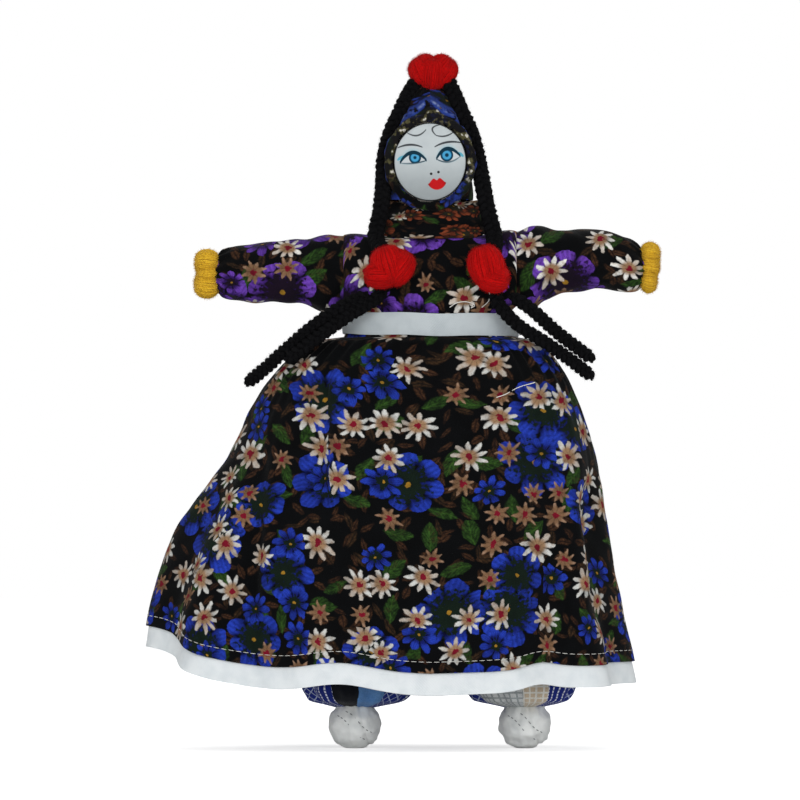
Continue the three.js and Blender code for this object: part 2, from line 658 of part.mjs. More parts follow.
function head() {
  const hood = cut(cover(headRing, headStations, CLOTH), faceOpening(GAP, -HEAD_DEPTH / 8));
  piece("headscarf", join(hood, brim()), SKIRT_PRINT);
  const neckRing = (z) => oval(BODY_SIDES, z, NECK_WIDTH / 2, NECK_DEPTH / 2, BODY_POWER);
  const stuffed = skin([
    ...[neckZ + GAP, chinZ - GAP].map(neckRing),
    ...headStations.slice(0, -1).map((z) => headRing(z, CLOTH + GAP)),
  ]);
  piece("head_stuffing", cut(stuffed, stickHole, brimClearance()), WADDING);
  const disc = new THREE.LatheGeometry(
    [
      [0, 0],
      [1, 0],
      [1, FACE_RIM],
      [0.8, FACE_RIM + FACE_DOME * 0.4],
      [0.5, FACE_RIM + FACE_DOME * 0.78],
      [0, FACE_RIM + FACE_DOME],
    ].map(([x, y]) => new THREE.Vector2(x, y)),
    BODY_SIDES,
  );
  disc.rotateX(Math.PI).scale(FACE_WIDTH / 2, 1, FACE_LENGTH / 2).translate(0, faceBackY, faceZ);
  piece("face_disc", disc, FACE_CLOTH);
  const wrapBulge = profile([
    [0, 0.86],
    [0.5, 1],
    [1, 0.88],
  ]);
  const wrapStations = [0, 0.3, 0.7, 1];
  const wrapRing = (t) =>
    oval(
      BODY_SIDES,
      THREE.MathUtils.lerp(neckZ + GAP, chinZ - GAP, t),
      (NECK_WRAP_WIDTH / 2) * wrapBulge(t),
      (NECK_WRAP_DEPTH / 2) * wrapBulge(t),
      BODY_POWER,
    );
  const liningRing = (t) =>
    oval(
      BODY_SIDES,
      THREE.MathUtils.lerp(neckZ + GAP, chinZ - GAP, t),
      NECK_WIDTH / 2 + GAP,
      NECK_DEPTH / 2 + GAP,
      BODY_POWER,
    );
  const wrap = skin(
    [...wrapStations.map(wrapRing), ...wrapStations.map(liningRing).reverse()],
    true,
  );
  const clearOfHead = skin([
    ...headStations.map((z) => headRing(z, -GAP)),
  ]);
  piece("neck_scarf", cut(wrap, clearOfHead, brimClearance()), SKIRT_PRINT);
}

// The space that the face and the rolled edge of the scarf take.
function brimClearance() {
  return faceOpening(GAP + BRIM_ROLL + GAP, faceBackY - FACE_RIM / 2 + brimRadius + GAP);
}

// Braids: from the crown past the face to the chest, tied there, with two loose tails on each side
const chestY = CHEST_DEPTH / 2;
const braidChestY = -(chestY + GAP + braidRadius);
const tieZ = armZ.left - CHEST_POMPOM.height / 2; // where a braid parts into its tails
// Points are [away from the middle, forward, above the neckline].
const UPPER_BRAID = {
  left: [
    [8.6, 1, 50.6],
    [12.4, 1.5, 43.5],
    [16, 2.5, 36],
    [18.6, 4, 26.5],
    [19.2, 6, 17],
    [19.6, 10, 8],
    [19.4, 14.5, -1.5],
  ],
  right: [
    [8.8, 1, 50.6],
    [12.6, 1.5, 43.5],
    [16.4, 2.5, 36],
    [18.8, 4, 26.5],
    [20.2, 6, 17],
    [21.8, 10, 8],
    [23, 14.5, -1.5],
  ],
};
const UPPER_BRAID_STEPS = 12;
const LOWER_BRAID_STEPS = 6;

function braidLine(side, points) {
  return points.map(([out, forward, up]) => [side.sign * out, -forward, neckZ + up]);
}

function lowerBraidPoints(side) {
  const [topOut, topForward] = UPPER_BRAID[side.name].at(-1);
  const tieOut = Math.abs(POMPOM_X[side.name]);
  return [
    [topOut, topForward - 1, 2],
    [(topOut + tieOut) / 2 + 0.6, -braidChestY - 1, -6],
    [tieOut + 1, -braidChestY, -12],
    [tieOut + 1.5, -braidChestY, tieZ - neckZ - 1],
  ];
}

// The inner tail goes straight on from the lower braid.
function tailPoints(side, which) {
  const [out, forward] = lowerBraidPoints(side).at(-1);
  const points = TAILS[side.name][which];
  return which === "inner" ? [[out, forward, tieZ - neckZ + 1], ...points] : points;
}

// The tails lie over the shoulders of the skirt. Points are as for the braids above.
const TAILS = {
  left: {
    outer: [
      [22, 24, -22.5],
      [30.5, 24.5, -27.5],
      [41, 22, -35],
      [52, 17, -43.5],
      [60, 11, -49.5],
      [66.5, 5, -54.5],
    ],
    inner: [
      [17.4, 23, -25.5],
      [26, 25, -33],
      [36, 24.5, -41],
      [46, 22, -48.5],
    ],
  },
  right: {
    outer: [
      [28.6, 24, -22.6],
      [36.5, 23, -27.5],
      [46, 19, -35],
      [54.5, 13, -43],
    ],
    inner: [
      [24, 23, -25.5],
      [31.5, 23, -33],
      [41, 21, -41.5],
      [50, 14, -49],
      [54, 8.5, -53.5],
    ],
  },
};
const TAIL_STEPS = 9;

// A slab that reaches up (1) or down (-1) from a height, for trimming a braid level there.
function slab(z, way) {
  const size = 4 * CHEST_WIDTH;
  return new THREE.BoxGeometry(size, size, size).translate(0, 0, z + (way * size) / 2);
}

function braids(side) {
  const upper = tube(braidLine(side, UPPER_BRAID[side.name]), braidRadius, UPPER_BRAID_STEPS);
  piece(`braid_upper_${side.name}`, cut(upper, slab(neckZ + GAP / 2, -1)), BLACK_YARN);
  const lowerLine = braidLine(side, lowerBraidPoints(side));
  const lower = tube(lowerLine, braidRadius, LOWER_BRAID_STEPS);
  piece(`braid_lower_${side.name}`, cut(lower, slab(neckZ - GAP / 2, 1), slab(tieZ, -1)), BLACK_YARN);
  for (const which of ["inner", "outer"]) {
    const tail = tube(braidLine(side, tailPoints(side, which)), braidRadius, TAIL_STEPS);
    const trimmed = which === "inner" ? cut(tail, slab(tieZ - GAP, 1)) : tail;
    piece(`braid_tail_${which}_${side.name}`, trimmed, BLACK_YARN);
  }
  const pompom = ball(
    POMPOM_X[side.name],
    -(chestY + GAP + CHEST_POMPOM.depth / 2),
    armZ.left,
    CHEST_POMPOM.width / 2,
    CHEST_POMPOM.depth / 2,
    CHEST_POMPOM.height / 2,
  );
  const groove = tube(lowerLine, braidRadius + GAP, LOWER_BRAID_STEPS);
  piece(`chest_pompom_${side.name}`, cut(pompom, groove), RED_YARN);
}

function crownPompom() {
  const half = CROWN_POMPOM.height / 2;
  const geometry = ball(0, 0, half, CROWN_POMPOM.width / 2, CROWN_POMPOM.depth / 2, half);
  const pompom = piece("crown_pompom", geometry, RED_YARN);
  pompom.position.z = capTipZ + GAP;
}

// The whole doll, moved so that the middle of its width is over the origin
for (const side of SIDES) {
  foot(side);
  leg(side);
  arm(side);
  braids(side);
}
seat();
skirt();
torso();
head();
crownPompom();
const handReach = shoulderX + SLEEVE_REACH + GAP + HAND_LENGTH;
const leftReach = Math.max(SKIRT_HEM.left - CLOTH - GAP, handReach);
const rightReach = Math.max(SKIRT_HEM.right - CLOTH - GAP, handReach);
doll.position.x = (leftReach - rightReach) / 2;

export default doll;
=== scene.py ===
"""Looks for a cloth folk doll: printed cotton, white tape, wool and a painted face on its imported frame.

Sizes are millimetres in the doll's own frame: x = 0 is its middle line, -y is the way the face looks
and z = 0 is the floor. Left is the viewer's left, at -x. ``Bench`` turns them into metres in the frame.
"""

import logging
import math
from dataclasses import dataclass
from enum import Enum
from typing import Any, Callable, Sequence

import bmesh
import bpy
import numpy as np
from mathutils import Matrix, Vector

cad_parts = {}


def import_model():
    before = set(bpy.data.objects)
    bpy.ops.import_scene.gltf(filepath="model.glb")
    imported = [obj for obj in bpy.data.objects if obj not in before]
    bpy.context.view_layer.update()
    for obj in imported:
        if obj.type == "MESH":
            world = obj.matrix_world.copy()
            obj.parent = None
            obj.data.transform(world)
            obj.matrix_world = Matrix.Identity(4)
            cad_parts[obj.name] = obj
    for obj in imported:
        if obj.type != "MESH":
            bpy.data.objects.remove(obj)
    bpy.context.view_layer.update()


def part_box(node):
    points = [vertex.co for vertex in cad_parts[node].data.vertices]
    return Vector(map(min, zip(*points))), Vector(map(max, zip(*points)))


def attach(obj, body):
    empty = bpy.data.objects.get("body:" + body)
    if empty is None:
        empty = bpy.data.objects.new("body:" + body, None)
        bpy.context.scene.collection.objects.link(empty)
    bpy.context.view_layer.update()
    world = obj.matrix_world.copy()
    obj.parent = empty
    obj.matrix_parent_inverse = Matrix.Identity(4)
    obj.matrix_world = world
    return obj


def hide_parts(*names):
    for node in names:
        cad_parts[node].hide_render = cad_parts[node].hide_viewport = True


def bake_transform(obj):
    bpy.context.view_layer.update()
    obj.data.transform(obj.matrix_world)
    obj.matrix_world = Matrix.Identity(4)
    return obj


LOG = logging.getLogger("doll")
MM = 0.001
TAU = 2 * math.pi
BACK = math.pi / 2
BLACK = (0.0, 0.0, 0.0)
STRAND_RADIUS = "strand_radius"
STRAND_TINT = "strand_tint"

# Heights that several pieces share
HIP_Z = 112.0
WAIST_SEAM_Z = 150.0
BAND_TOP_Z = 156.0
UNDERARM_Z = 160.5
NECK_Z = 185.0
CHIN_Z = 197.0
FACE_Z = 210.1
CAP_TIP_Z = 237.0

# Half the width and height of the face, and how square the ovals of body and head are
FACE_HALF = (13.0, 14.0)
BODY_POWER = 2.4
HEAD_POWER = 3.0

# Thicknesses of cloth and tape, and how close places of one piece are joined
CLOTH = 0.7
TAPE = 0.8
WELD = 0.02

# Rows and sides of a lump of yarn, and how many loose fibres a square metre of wool has
LOBE_ROWS = 15
LOBE_SIDES = 24
BUNCH_FIBRES = 2.0e6
PLAIT_FIBRES = 1.2e6

Point = tuple[float, float, float]
Pair = tuple[float, float]
Material = bpy.types.Material
Piece = bpy.types.Object


def rgb(code: str) -> Point:
    """Turns six hexadecimal digits, a colour as seen on a screen, into a shader's linear values."""
    seen = [int(code[i : i + 2], 16) / 255 for i in (0, 2, 4)]
    return tuple(v / 12.92 if v <= 0.04045 else ((v + 0.055) / 1.055) ** 2.4 for v in seen)


def ease(value: Any, start: float, end: float) -> Any:
    """Rises smoothly from 0 at start to 1 at end, for a number or an array."""
    t = np.clip((np.asarray(value, float) - start) / (end - start), 0, 1)
    return t * t * (3 - 2 * t)


def hump(value: np.ndarray, middle: float, width: float) -> np.ndarray:
    """A soft hump, 1 at its middle and nearly 0 at twice its width from it."""
    return np.exp(-(((value - middle) / width) ** 2))


def ring(count: int, start: float = 0.0) -> np.ndarray:
    """Even ways round a full turn from a start, anticlockwise from above, without the start again."""
    return np.linspace(0, TAU, count, endpoint=False) + start


def grid(*parts: Any) -> np.ndarray:
    """Places from their x, y and z, which may be arrays of different shapes."""
    return np.stack(np.broadcast_arrays(*parts), axis=-1)


def rounded(value: np.ndarray, power: float) -> np.ndarray:
    """Squares off a sine or cosine, so that an oval comes nearer to a rectangle."""
    return np.sign(value) * np.abs(value) ** (2 / power)


def oval(angle: np.ndarray, wide: Any, deep: Any, z: Any, power: float = BODY_POWER) -> np.ndarray:
    """Places at angles round an upright squared-off oval."""
    return grid(wide * rounded(np.cos(angle), power), deep * rounded(np.sin(angle), power), z)


def push(places: np.ndarray, angle: np.ndarray, out: np.ndarray) -> None:
    """Moves places outwards, each at its angle round the upright."""
    places[..., 0] += out * np.cos(angle)
    places[..., 1] += out * np.sin(angle)


def ripple(points: np.ndarray, length: float, seed: int) -> np.ndarray:
    """Smooth unevenness, as in crumpled cloth: a few plain waves laid over each other.

    Args:
        points: Places, with x, y and z along the last axis.
        length: Usual distance from crest to crest.
        seed: Which unevenness.

    Returns:
        A height of about -1 to 1 at each place.
    """
    waves = 8
    dice = np.random.default_rng(seed)
    ways = dice.normal(size=(waves, 3))
    ways /= np.linalg.norm(ways, axis=1, keepdims=True)
    lengths = length * dice.uniform(0.7, 1.5, waves)
    starts = dice.uniform(0, TAU, waves)
    total = sum(np.sin(points @ ways[i] * TAU / lengths[i] + starts[i]) for i in range(waves))
    return total / math.sqrt(waves)


def distance(places: np.ndarray, axis: int = 0) -> np.ndarray:
    """How far each place is from the start of its line, with lines along one axis of the array."""
    steps = np.diff(places, axis=axis, prepend=np.take(places, [0], axis=axis))
    return np.linalg.norm(steps, axis=-1).cumsum(axis=axis)


def path_length(path: np.ndarray) -> float:
    """Length of a line of places."""
    return float(np.linalg.norm(np.diff(path, axis=0), axis=1).sum())


def smooth_path(points: Sequence[Point], step: float) -> np.ndarray:
    """A curve through points.

    Args:
        points: The points that it goes through.
        step: Distance between the places along it.

    Returns:
        Evenly spaced places, first and last point included.
    """
    p = np.asarray(points, float)
    p = np.vstack([2 * p[0] - p[1], p, 2 * p[-1] - p[-2]])
    t = np.linspace(0, 1, 24, endpoint=False)[:, None]
    spans = []
    for a, b, c, d in zip(p, p[1:], p[2:], p[3:]):
        curve = 2 * b + (c - a) * t + (2 * a - 5 * b + 4 * c - d) * t**2 + (3 * b - a - 3 * c + d) * t**3
        spans.append(curve / 2)
    fine = np.vstack([*spans, p[-2:-1]])
    run = distance(fine)
    even = np.linspace(0, run[-1], max(int(round(run[-1] / step)), 2) + 1)
    return np.stack([np.interp(even, run, fine[:, k]) for k in range(3)], axis=1)


def carried_frames(path: np.ndarray, first: Point) -> tuple[np.ndarray, np.ndarray]:
    """Two directions across a path at each place, carried along it without twisting.

    Args:
        path: Evenly spaced places.
        first: About where the first direction points at the start.

    Returns:
        The two directions, each one row a place.
    """
    along = np.gradient(path, axis=0)
    along /= np.linalg.norm(along, axis=1, keepdims=True)
    side = np.empty_like(path)
    held = np.asarray(first, float)
    for i, way in enumerate(along):
        held = held - way * (held @ way)
        held = held / np.linalg.norm(held)
        side[i] = held
    return side, np.cross(along, side)


class Side(Enum):
    """The doll's two sides, with their sign along x."""

    LEFT = -1
    RIGHT = 1

    @property
    def word(self) -> str:
        """The side's name as it ends the name of a piece."""
        return self.name.lower()

    def of(self, pair: Sequence[Any]) -> Any:
        """This side's one of a left and right pair."""
        return pair[0] if self is Side.LEFT else pair[1]


class Profile:
    """A smooth curve through (position, value) pairs that never overshoots them."""

    def __init__(self, *points: Pair) -> None:
        """Works out the slopes.

        Args:
            *points: The pairs, in rising order of position.
        """
        self.at, self.value = (np.array(v, float) for v in zip(*points))
        steps = np.diff(self.value) / np.diff(self.at)
        before = np.concatenate([steps[:1], steps])
        after = np.concatenate([steps, steps[-1:]])
        same_way = before * after > 0
        total = np.where(same_way, before + after, 1)
        self.slope = np.where(same_way, 2 * before * after / total, 0)

    def __call__(self, at: Any) -> np.ndarray:
        """Reads the curve.

        Args:
            at: A position or an array of them.

        Returns:
            The value at each.
        """
        at = np.clip(np.asarray(at, float), self.at[0], self.at[-1])
        i = np.clip(np.searchsorted(self.at, at, side="right") - 1, 0, len(self.at) - 2)
        span = self.at[i + 1] - self.at[i]
        t = (at - self.at[i]) / span
        rise = self.value[i + 1] - self.value[i]
        bend = (self.slope[i] * span - rise) * (1 - t) + (rise - self.slope[i + 1] * span) * t
        return self.value[i] + t * rise + t * (1 - t) * bend


def operator(operation: str, swapped: bool = False) -> Callable[..., "Sock"]:
    """Makes an operator of sockets.

    Args:
        operation: What its Math node does.
        swapped: Whether the socket comes after the other value.

    Returns:
        A method that adds the node and gives its result.
    """

    def apply(self: "Sock", *other: Any) -> "Sock":
        """The Math node's result."""
        values = (*other, self) if swapped else (self, *other)
        return self.tree.node("ShaderNodeMath", dict(enumerate(values)), operation=operation)[0]

    return apply


class Sock:
    """A node's output that can be used in an expression, which adds Math nodes."""

    def __init__(self, tree: "Tree", socket: bpy.types.NodeSocket) -> None:
        """Wraps an output socket of a tree."""
        self.tree = tree
        self.socket = socket

    __add__ = __radd__ = operator("ADD")
    __sub__ = operator("SUBTRACT")
    __rsub__ = operator("SUBTRACT", True)
    __mul__ = __rmul__ = operator("MULTIPLY")
    __truediv__ = operator("DIVIDE")
    __rtruediv__ = operator("DIVIDE", True)
    __pow__ = operator("POWER")
    __abs__ = operator("ABSOLUTE")
    __lt__ = operator("LESS_THAN")
    __gt__ = operator("GREATER_THAN")
    cosine = operator("COSINE")
    sine = operator("SINE")
    arctan2 = operator("ARCTAN2")
    floor = operator("FLOOR")
    fraction = operator("FRACT")
    most = operator("MAXIMUM")
    least = operator("MINIMUM")


class Made:
    """A node whose outputs are taken by name or number."""

    def __init__(self, tree: "Tree", node: bpy.types.Node) -> None:
        """Wraps a node of a tree."""
        self.tree = tree
        self.bare = node

    def __getitem__(self, output: Any) -> Sock:
        """One of the node's outputs."""
        return Sock(self.tree, self.bare.outputs[output])


class Tree:
    """A node tree that is written as expressions."""

    def __init__(self, tree: bpy.types.NodeTree) -> None:
        """Takes the tree that nodes are added to."""
        self.tree = tree

    def node(self, kind: str, inputs: dict | None = None, **settings: Any) -> Made:
        """Adds a node.

        Args:
            kind: Blender's name for the type of node.
            inputs: A value or a link for each input, by name or number.
            **settings: The node's own settings, which are set first.

        Returns:
            The node.
        """
        made = self.tree.nodes.new(kind)
        for name, value in settings.items():
            setattr(made, name, value)
        for key, value in (inputs or {}).items():
            self.feed(made.inputs[key], value)
        return Made(self, made)

    def feed(self, socket: bpy.types.NodeSocket, value: Any) -> None:
        """Links or sets one input.

        Args:
            socket: The input.
            value: A link or a value, where a colour is six digits or three linear values.
        """
        if isinstance(value, Sock):
            self.tree.links.new(value.socket, socket)
        elif socket.type == "RGBA":
            socket.default_value = (*(rgb(value) if isinstance(value, str) else value), 1.0)
        else:
            socket.default_value = value

    def seen(self) -> Sock:
        """1 for a ray that shows the backdrop, straight, in a mirror or through glass."""
        path = self.node("ShaderNodeLightPath")
        return path["Is Camera Ray"].most(path["Is Glossy Ray"]).most(path["Is Transmission Ray"])


class Shade(Tree):
    """A material's tree, with the recipes that the finishes share."""

    def __init__(self, name: str) -> None:
        """Starts an empty material.

        Args:
            name: Its name.
        """
        self.material = bpy.data.materials.new(name)
        self.material.use_nodes = True
        super().__init__(self.material.node_tree)
        self.tree.nodes.clear()

    def vector(self, operation: str, *values: Any) -> Sock:
        """A Vector Math node on these vectors."""
        return self.node("ShaderNodeVectorMath", dict(enumerate(values)), operation=operation)[0]

    def length(self, vector: Sock) -> Sock:
        """The length of a vector."""
        return self.node("ShaderNodeVectorMath", {0: vector}, operation="LENGTH")["Value"]

    def split(self, vector: Sock) -> tuple[Sock, Sock, Sock]:
        """The three parts of a vector or colour."""
        parts = self.node("ShaderNodeSeparateXYZ", {0: vector})
        return parts[0], parts[1], parts[2]

    def cloth_place(self) -> Sock:
        """Place on the flat cloth, in millimetres, from the piece's own UV map."""
        uv = self.node("ShaderNodeUVMap", uv_map="UVMap")["UV"]
        return self.vector("MULTIPLY", uv, (1 / MM, 1 / MM, 0))

    def object_place(self) -> Sock:
        """Place in the frame, in millimetres."""
        here = self.node("ShaderNodeTexCoord")["Object"]
        return self.vector("MULTIPLY", here, (1 / MM,) * 3)

    def mix(self, below: Any, above: Any, share: Any) -> Sock:
        """Lays one colour over another."""
        inputs = {0: share, 6: below, 7: above}
        return self.node("ShaderNodeMix", inputs, data_type="RGBA", clamp_factor=True)[2]

    def ease(self, value: Any, start: Any, end: Any) -> Sock:
        """Rises or falls smoothly from 0 at start to 1 at end."""
        inputs = {"Value": value, "From Min": start, "From Max": end}
        return self.node("ShaderNodeMapRange", inputs, interpolation_type="SMOOTHSTEP")["Result"]

    def disc(self, away: Sock, size: float, soft: float) -> Sock:
        """1 nearer than a size, with an edge that is soft by that share of it."""
        return self.ease(away, size * (1 + soft), size * (1 - soft))

    def bars(self, at: Sock, often: float) -> Sock:
        """Even bars: 0 in the middle of each and 0.5 halfway to the next, so often in a millimetre."""
        return abs((at * often).fraction() - 0.5)

    def noise(self, at: Sock, size: float, detail: float = 2.0) -> Sock:
        """Cloudy unevenness from 0 to 1, with patches of about that size."""
        return self.node("ShaderNodeTexNoise", {"Vector": at, "Scale": 1 / size, "Detail": detail})[0]

    def strewn(self, place: Sock, cell: float, shift: Point, loose: float) -> tuple[Sock, tuple]:
        """Strews one spot over each cell of the cloth.

        Args:
            place: Place on the flat cloth, in millimetres.
            cell: Size of a cell.
            shift: Which part of the endless pattern lies here, in cells.
            loose: How far spots may leave the middles of their cells, from 0 to 1.

        Returns:
            The way from the nearest spot, in cells, and three dice of that spot's own.
        """
        cells = self.vector("MULTIPLY_ADD", place, (1 / cell,) * 3, shift)
        inputs = {"Vector": cells, "Scale": 1.0, "Randomness": loose}
        spot = self.node("ShaderNodeTexVoronoi", inputs, voronoi_dimensions="2D")
        return self.vector("SUBTRACT", cells, spot["Position"]), self.split(spot["Color"])

    def weave(self, at: Sock, pitch: float) -> Sock:
        """Height of a plain weave.

        Args:
            at: Place on the cloth, in millimetres.
            pitch: From one thread over to the next one over.

        Returns:
            A height from 0 to 1.
        """
        across, along, _ = self.split(at)
        warp = (across * (TAU / pitch)).cosine()
        weft = (along * (TAU / pitch)).cosine()
        return warp * weft * 0.5 + 0.5

    def cotton(self, place: Sock, colour: Sock, pitch: float, lump: float) -> tuple[Sock, Sock, Sock]:
        """Gives a colour the look of woven cotton.

        Args:
            place: Place on the flat cloth, in millimetres.
            colour: The print's colour.
            pitch: Pitch of the weave.
            lump: Size of the unevenness of the threads.

        Returns:
            The colour with dark flecks, the relief, and the flecks from 0 to 1.
        """
        fleck = self.noise(place, 0.5, 3.0)
        flecked = self.mix(colour, BLACK, self.ease(fleck, 0.45, 0.8) * 0.3)
        return flecked, self.weave(place, pitch) * 0.6 + self.noise(place, lump) * 0.4, fleck

    def surface(self, colour: Any, roughness: Any, height: Sock, lift: float, sheen: float = 0.0,
                metallic: float = 0.0, gloss: float = 0.06) -> Material:
        """Ends the tree in its shader.

        Args:
            colour: Base colour.
            roughness: Roughness, one value or a changing one.
            height: Relief from 0 to 1.
            lift: How high a relief of 1 stands, in millimetres.
            sheen: Weight of the soft sheen of fibres.
            metallic: 1 for bare metal.
            gloss: Strength of the mirror-like part, low for cloth and wool.

        Returns:
            The material.
        """
        relief = self.node("ShaderNodeBump", {"Strength": 1.0, "Distance": lift * MM, "Height": height})[0]
        inputs = {"Base Color": colour, "Roughness": roughness, "Metallic": metallic, "Normal": relief}
        inputs |= {"Sheen Weight": sheen, "Sheen Roughness": 0.5, "Specular IOR Level": gloss}
        shader = self.node("ShaderNodeBsdfPrincipled", inputs)
        self.node("ShaderNodeOutputMaterial", {"Surface": shader[0]})
        return self.material


@dataclass(frozen=True)
class Bloom:
    """One kind of printed flower, strewn over the cloth.

    ``kept`` is the share of the places, from and up to, that hold this kind. Sizes with ``_size`` or
    ``_reach`` and the petals' ``width`` are shares of the flower's radius.
    """

    cell: float
    shift: Point
    kept: Pair
    radius: float
    petals: int
    width: float
    blunt: float
    joined: float
    tip: str
    base: str
    base_reach: float
    shade_side: float
    gap: float
    heart: str
    heart_size: float
    eye: str
    eye_size: float

    def paint(self, t: Shade, place: Sock, cloud: Sock, ground: Sock) -> Sock:
        """Prints the flowers over what is there.

        Args:
            t: The tree of the print.
            place: Place on the flat cloth, in millimetres.
            cloud: Unevenness of the dye, from 0 to 1.
            ground: Colour so far.

        Returns:
            Colour with the flowers.
        """
        away, (turn, size_dice, pick) = t.strewn(place, self.cell, self.shift, 0.65)
        x, y, _ = t.split(away)
        angle = y.arctan2(x) + turn * TAU
        out = t.length(away) * self.cell
        size = (size_dice * 0.3 + 0.85) * self.radius
        spread = angle * (self.petals / TAU)
        number = (spread + 0.5).floor()
        bend = (spread - number) * (TAU / self.petals)
        number = number - (number / self.petals + 0.001).floor() * self.petals
        inputs = {"W": number + size_dice * 50}
        dice = t.node("ShaderNodeTexWhiteNoise", inputs, noise_dimensions="1D")["Value"]
        along = out * bend.cosine() / (size * (dice * 0.25 + 0.85))
        across = abs(out * bend.sine())
        end = (1 - along.most(0) ** self.blunt).most(0) ** 0.5
        half = (along * 2.2).least(1) * end * size * self.width
        reach = out / size
        shape = t.ease(across, half, half - 0.55).most(t.disc(reach, self.joined, 0.15))
        side = t.ease((angle + turn * 5).cosine(), -0.2, 0.7)
        tone = t.ease(along, self.base_reach, self.base_reach + 0.3) * (1 - side * self.shade_side)
        colour = t.mix(self.base, self.tip, tone * (cloud * 0.8 + 0.6).least(1))
        vein = (across * (2.5 * TAU / (self.radius * self.width))).cosine() * 0.5 + 0.5
        between = t.ease(abs(bend), 0.6 * math.pi / self.petals, math.pi / self.petals)
        colour = t.mix(colour, BLACK, (1 - vein) * self.gap * 0.4 + between * self.gap)
        ragged = reach + (cloud - 0.5) * self.heart_size * 0.9
        colour = t.mix(colour, self.heart, t.disc(ragged, self.heart_size, 0.2))
        colour = t.mix(colour, self.eye, t.disc(reach, self.eye_size, 0.2))
        return t.mix(ground, colour, shape * (pick > self.kept[0]) * (pick < self.kept[1]))


@dataclass(frozen=True)
class Leaf:
    """One kind of printed leaf or sprig, strewn over the cloth."""

    cell: float
    length: float
    width: float
    share: float
    shift: Point
    colour: str
    rib: str

    def paint(self, t: Shade, place: Sock, cloud: Sock, ground: Sock) -> Sock:
        """Prints the leaves over what is there.

        Args:
            t: The tree of the print.
            place: Place on the flat cloth, in millimetres.
            cloud: Unevenness of the dye, from 0 to 1.
            ground: Colour so far.

        Returns:
            Colour with the leaves.
        """
        away, (turn, size_dice, kept) = t.strewn(place, self.cell, self.shift, 0.9)
        inputs = {"Vector": away, "Angle": turn * TAU}
        turned = t.node("ShaderNodeVectorRotate", inputs, rotation_type="Z_AXIS")[0]
        along, across, _ = t.split(turned)
        along = along * (self.cell / self.length)
        across = abs(across) * self.cell
        half = (1 - along * along).most(0) * (size_dice * 0.5 + 0.6) * self.width
        shape = t.ease(across, half, half - 0.8) * (kept < self.share) * (cloud * 0.8 + 0.3).least(1)
        barbs = ((along * 3 + across * 0.9) * TAU).cosine() * 0.5 + 0.5
        ribbed = t.ease(across, 0.45, 0.1).most(barbs * 0.6)
        return t.mix(ground, t.mix(self.colour, self.rib, ribbed), shape)


def flower_layers(petal: str, petal_deep: str, heart: str, pale: str, scale: float,
                  share: float = 0.8) -> tuple[Bloom | Leaf, ...]:
    """The flowers and leaves of the doll's cotton in one colourway.

    Args:
        petal: Colour of the large flowers.
        petal_deep: Their colour towards the middle.
        heart: The dark middle of the largest flowers.
        pale: Colour of the daisies' tips.
        scale: Size of the print, 1 on the skirt.
        share: How many of the places for large flowers have one.

    Returns:
        The layers, lowest first.
    """
    tan, crimson, gold = "927356", "6e1122", "8f6a22"
    petals = (petal, petal_deep)
    small, large = 11.4 * scale, 27 * scale
    here = (1.4, 3.3, 0)
    leaves = (
        (6, 3.2, 1.5, 0.85, (0.3, 0.7, 0), "49301f", "261812"),
        (8, 4.0, 1.6, 0.5, (8.1, 5.7, 0), "3d2b1b", "1e1610"),
        (13, 5.4, 3.0, 0.7, (4.1, 2.6, 0), "1e3315", "304f1d"),
    )
    return (
        *(Leaf(cell * scale, length * scale, width * scale, kept, shift, colour, rib)
          for cell, length, width, kept, shift, colour, rib in leaves),
        Bloom(large, (7.3, 1.9, 0), (0.0, share), 11.2 * scale, 7, 0.36, 7, 0.6, *petals, 0.5, 0.35, 0.8,
              heart, 0.56, gold, 0.07),
        Bloom(small, here, (0.56, 0.72), 5.8 * scale, 8, 0.27, 6, 0.5, *petals, 0.4, 0.3, 0.75,
              heart, 0.34, gold, 0.08),
        Bloom(small, here, (0.34, 0.56), 4.3 * scale, 8, 0.2, 4, 0.55, "957761", "785a42", 0.5,
              0.5, 0.35, crimson, 0.24, crimson, 0.1),
        Bloom(small, here, (0.0, 0.34), 5.9 * scale, 9, 0.18, 6, 0.46, pale, tan, 0.34, 0.45, 0.3,
              crimson, 0.19, crimson, 0.1),
    )


@dataclass(frozen=True)
class FlowerPrint:
    """Plain-weave cotton printed with strewn flowers on a dark ground."""

    name: str
    layers: tuple[Bloom | Leaf, ...]
    faded: float = 0.0
    ground: str = "060709"

    def colours(self, t: Shade, place: Sock) -> Sock:
        """Prints all the layers.

        Args:
            t: The tree of the print.
            place: Place on the flat cloth, in millimetres.

        Returns:
            The print's colour.
        """
        drawn = place
        for scale, detail, reach in ((0.12, 1.0, 2.4), (0.8, 2.0, 0.9)):
            inputs = {"Vector": place, "Scale": scale, "Detail": detail}
            wander = t.node("ShaderNodeTexNoise", inputs)["Color"]
            drawn = t.vector("MULTIPLY_ADD", wander, (reach, reach, 0), drawn)
        colour = t.mix(self.ground, BLACK, t.noise(place, 9.0))
        cloud = t.ease(t.noise(place, 1.5), 0.25, 0.75)
        for layer in self.layers:
            colour = layer.paint(t, drawn, cloud, colour)
        worn = t.ease(t.noise(place, 5.0, 4.0), 0.4, 0.75)
        return t.mix(colour, self.ground, worn * 0.45 + self.faded)

    def over(self, t: Shade, colour: Sock) -> Sock:
        """What goes over the print, which is nothing on plain lengths of it."""
        return colour

    def make(self) -> Material:
        """Builds the material.

        Returns:
            The material.
        """
        t = Shade(self.name)
        place = t.cloth_place()
        colour = self.over(t, self.colours(t, place))
        colour, height, fleck = t.cotton(place, colour, 0.62, 1.6)
        return t.surface(colour, fleck * 0.1 + 0.86, height, lift=0.07, sheen=0.02)


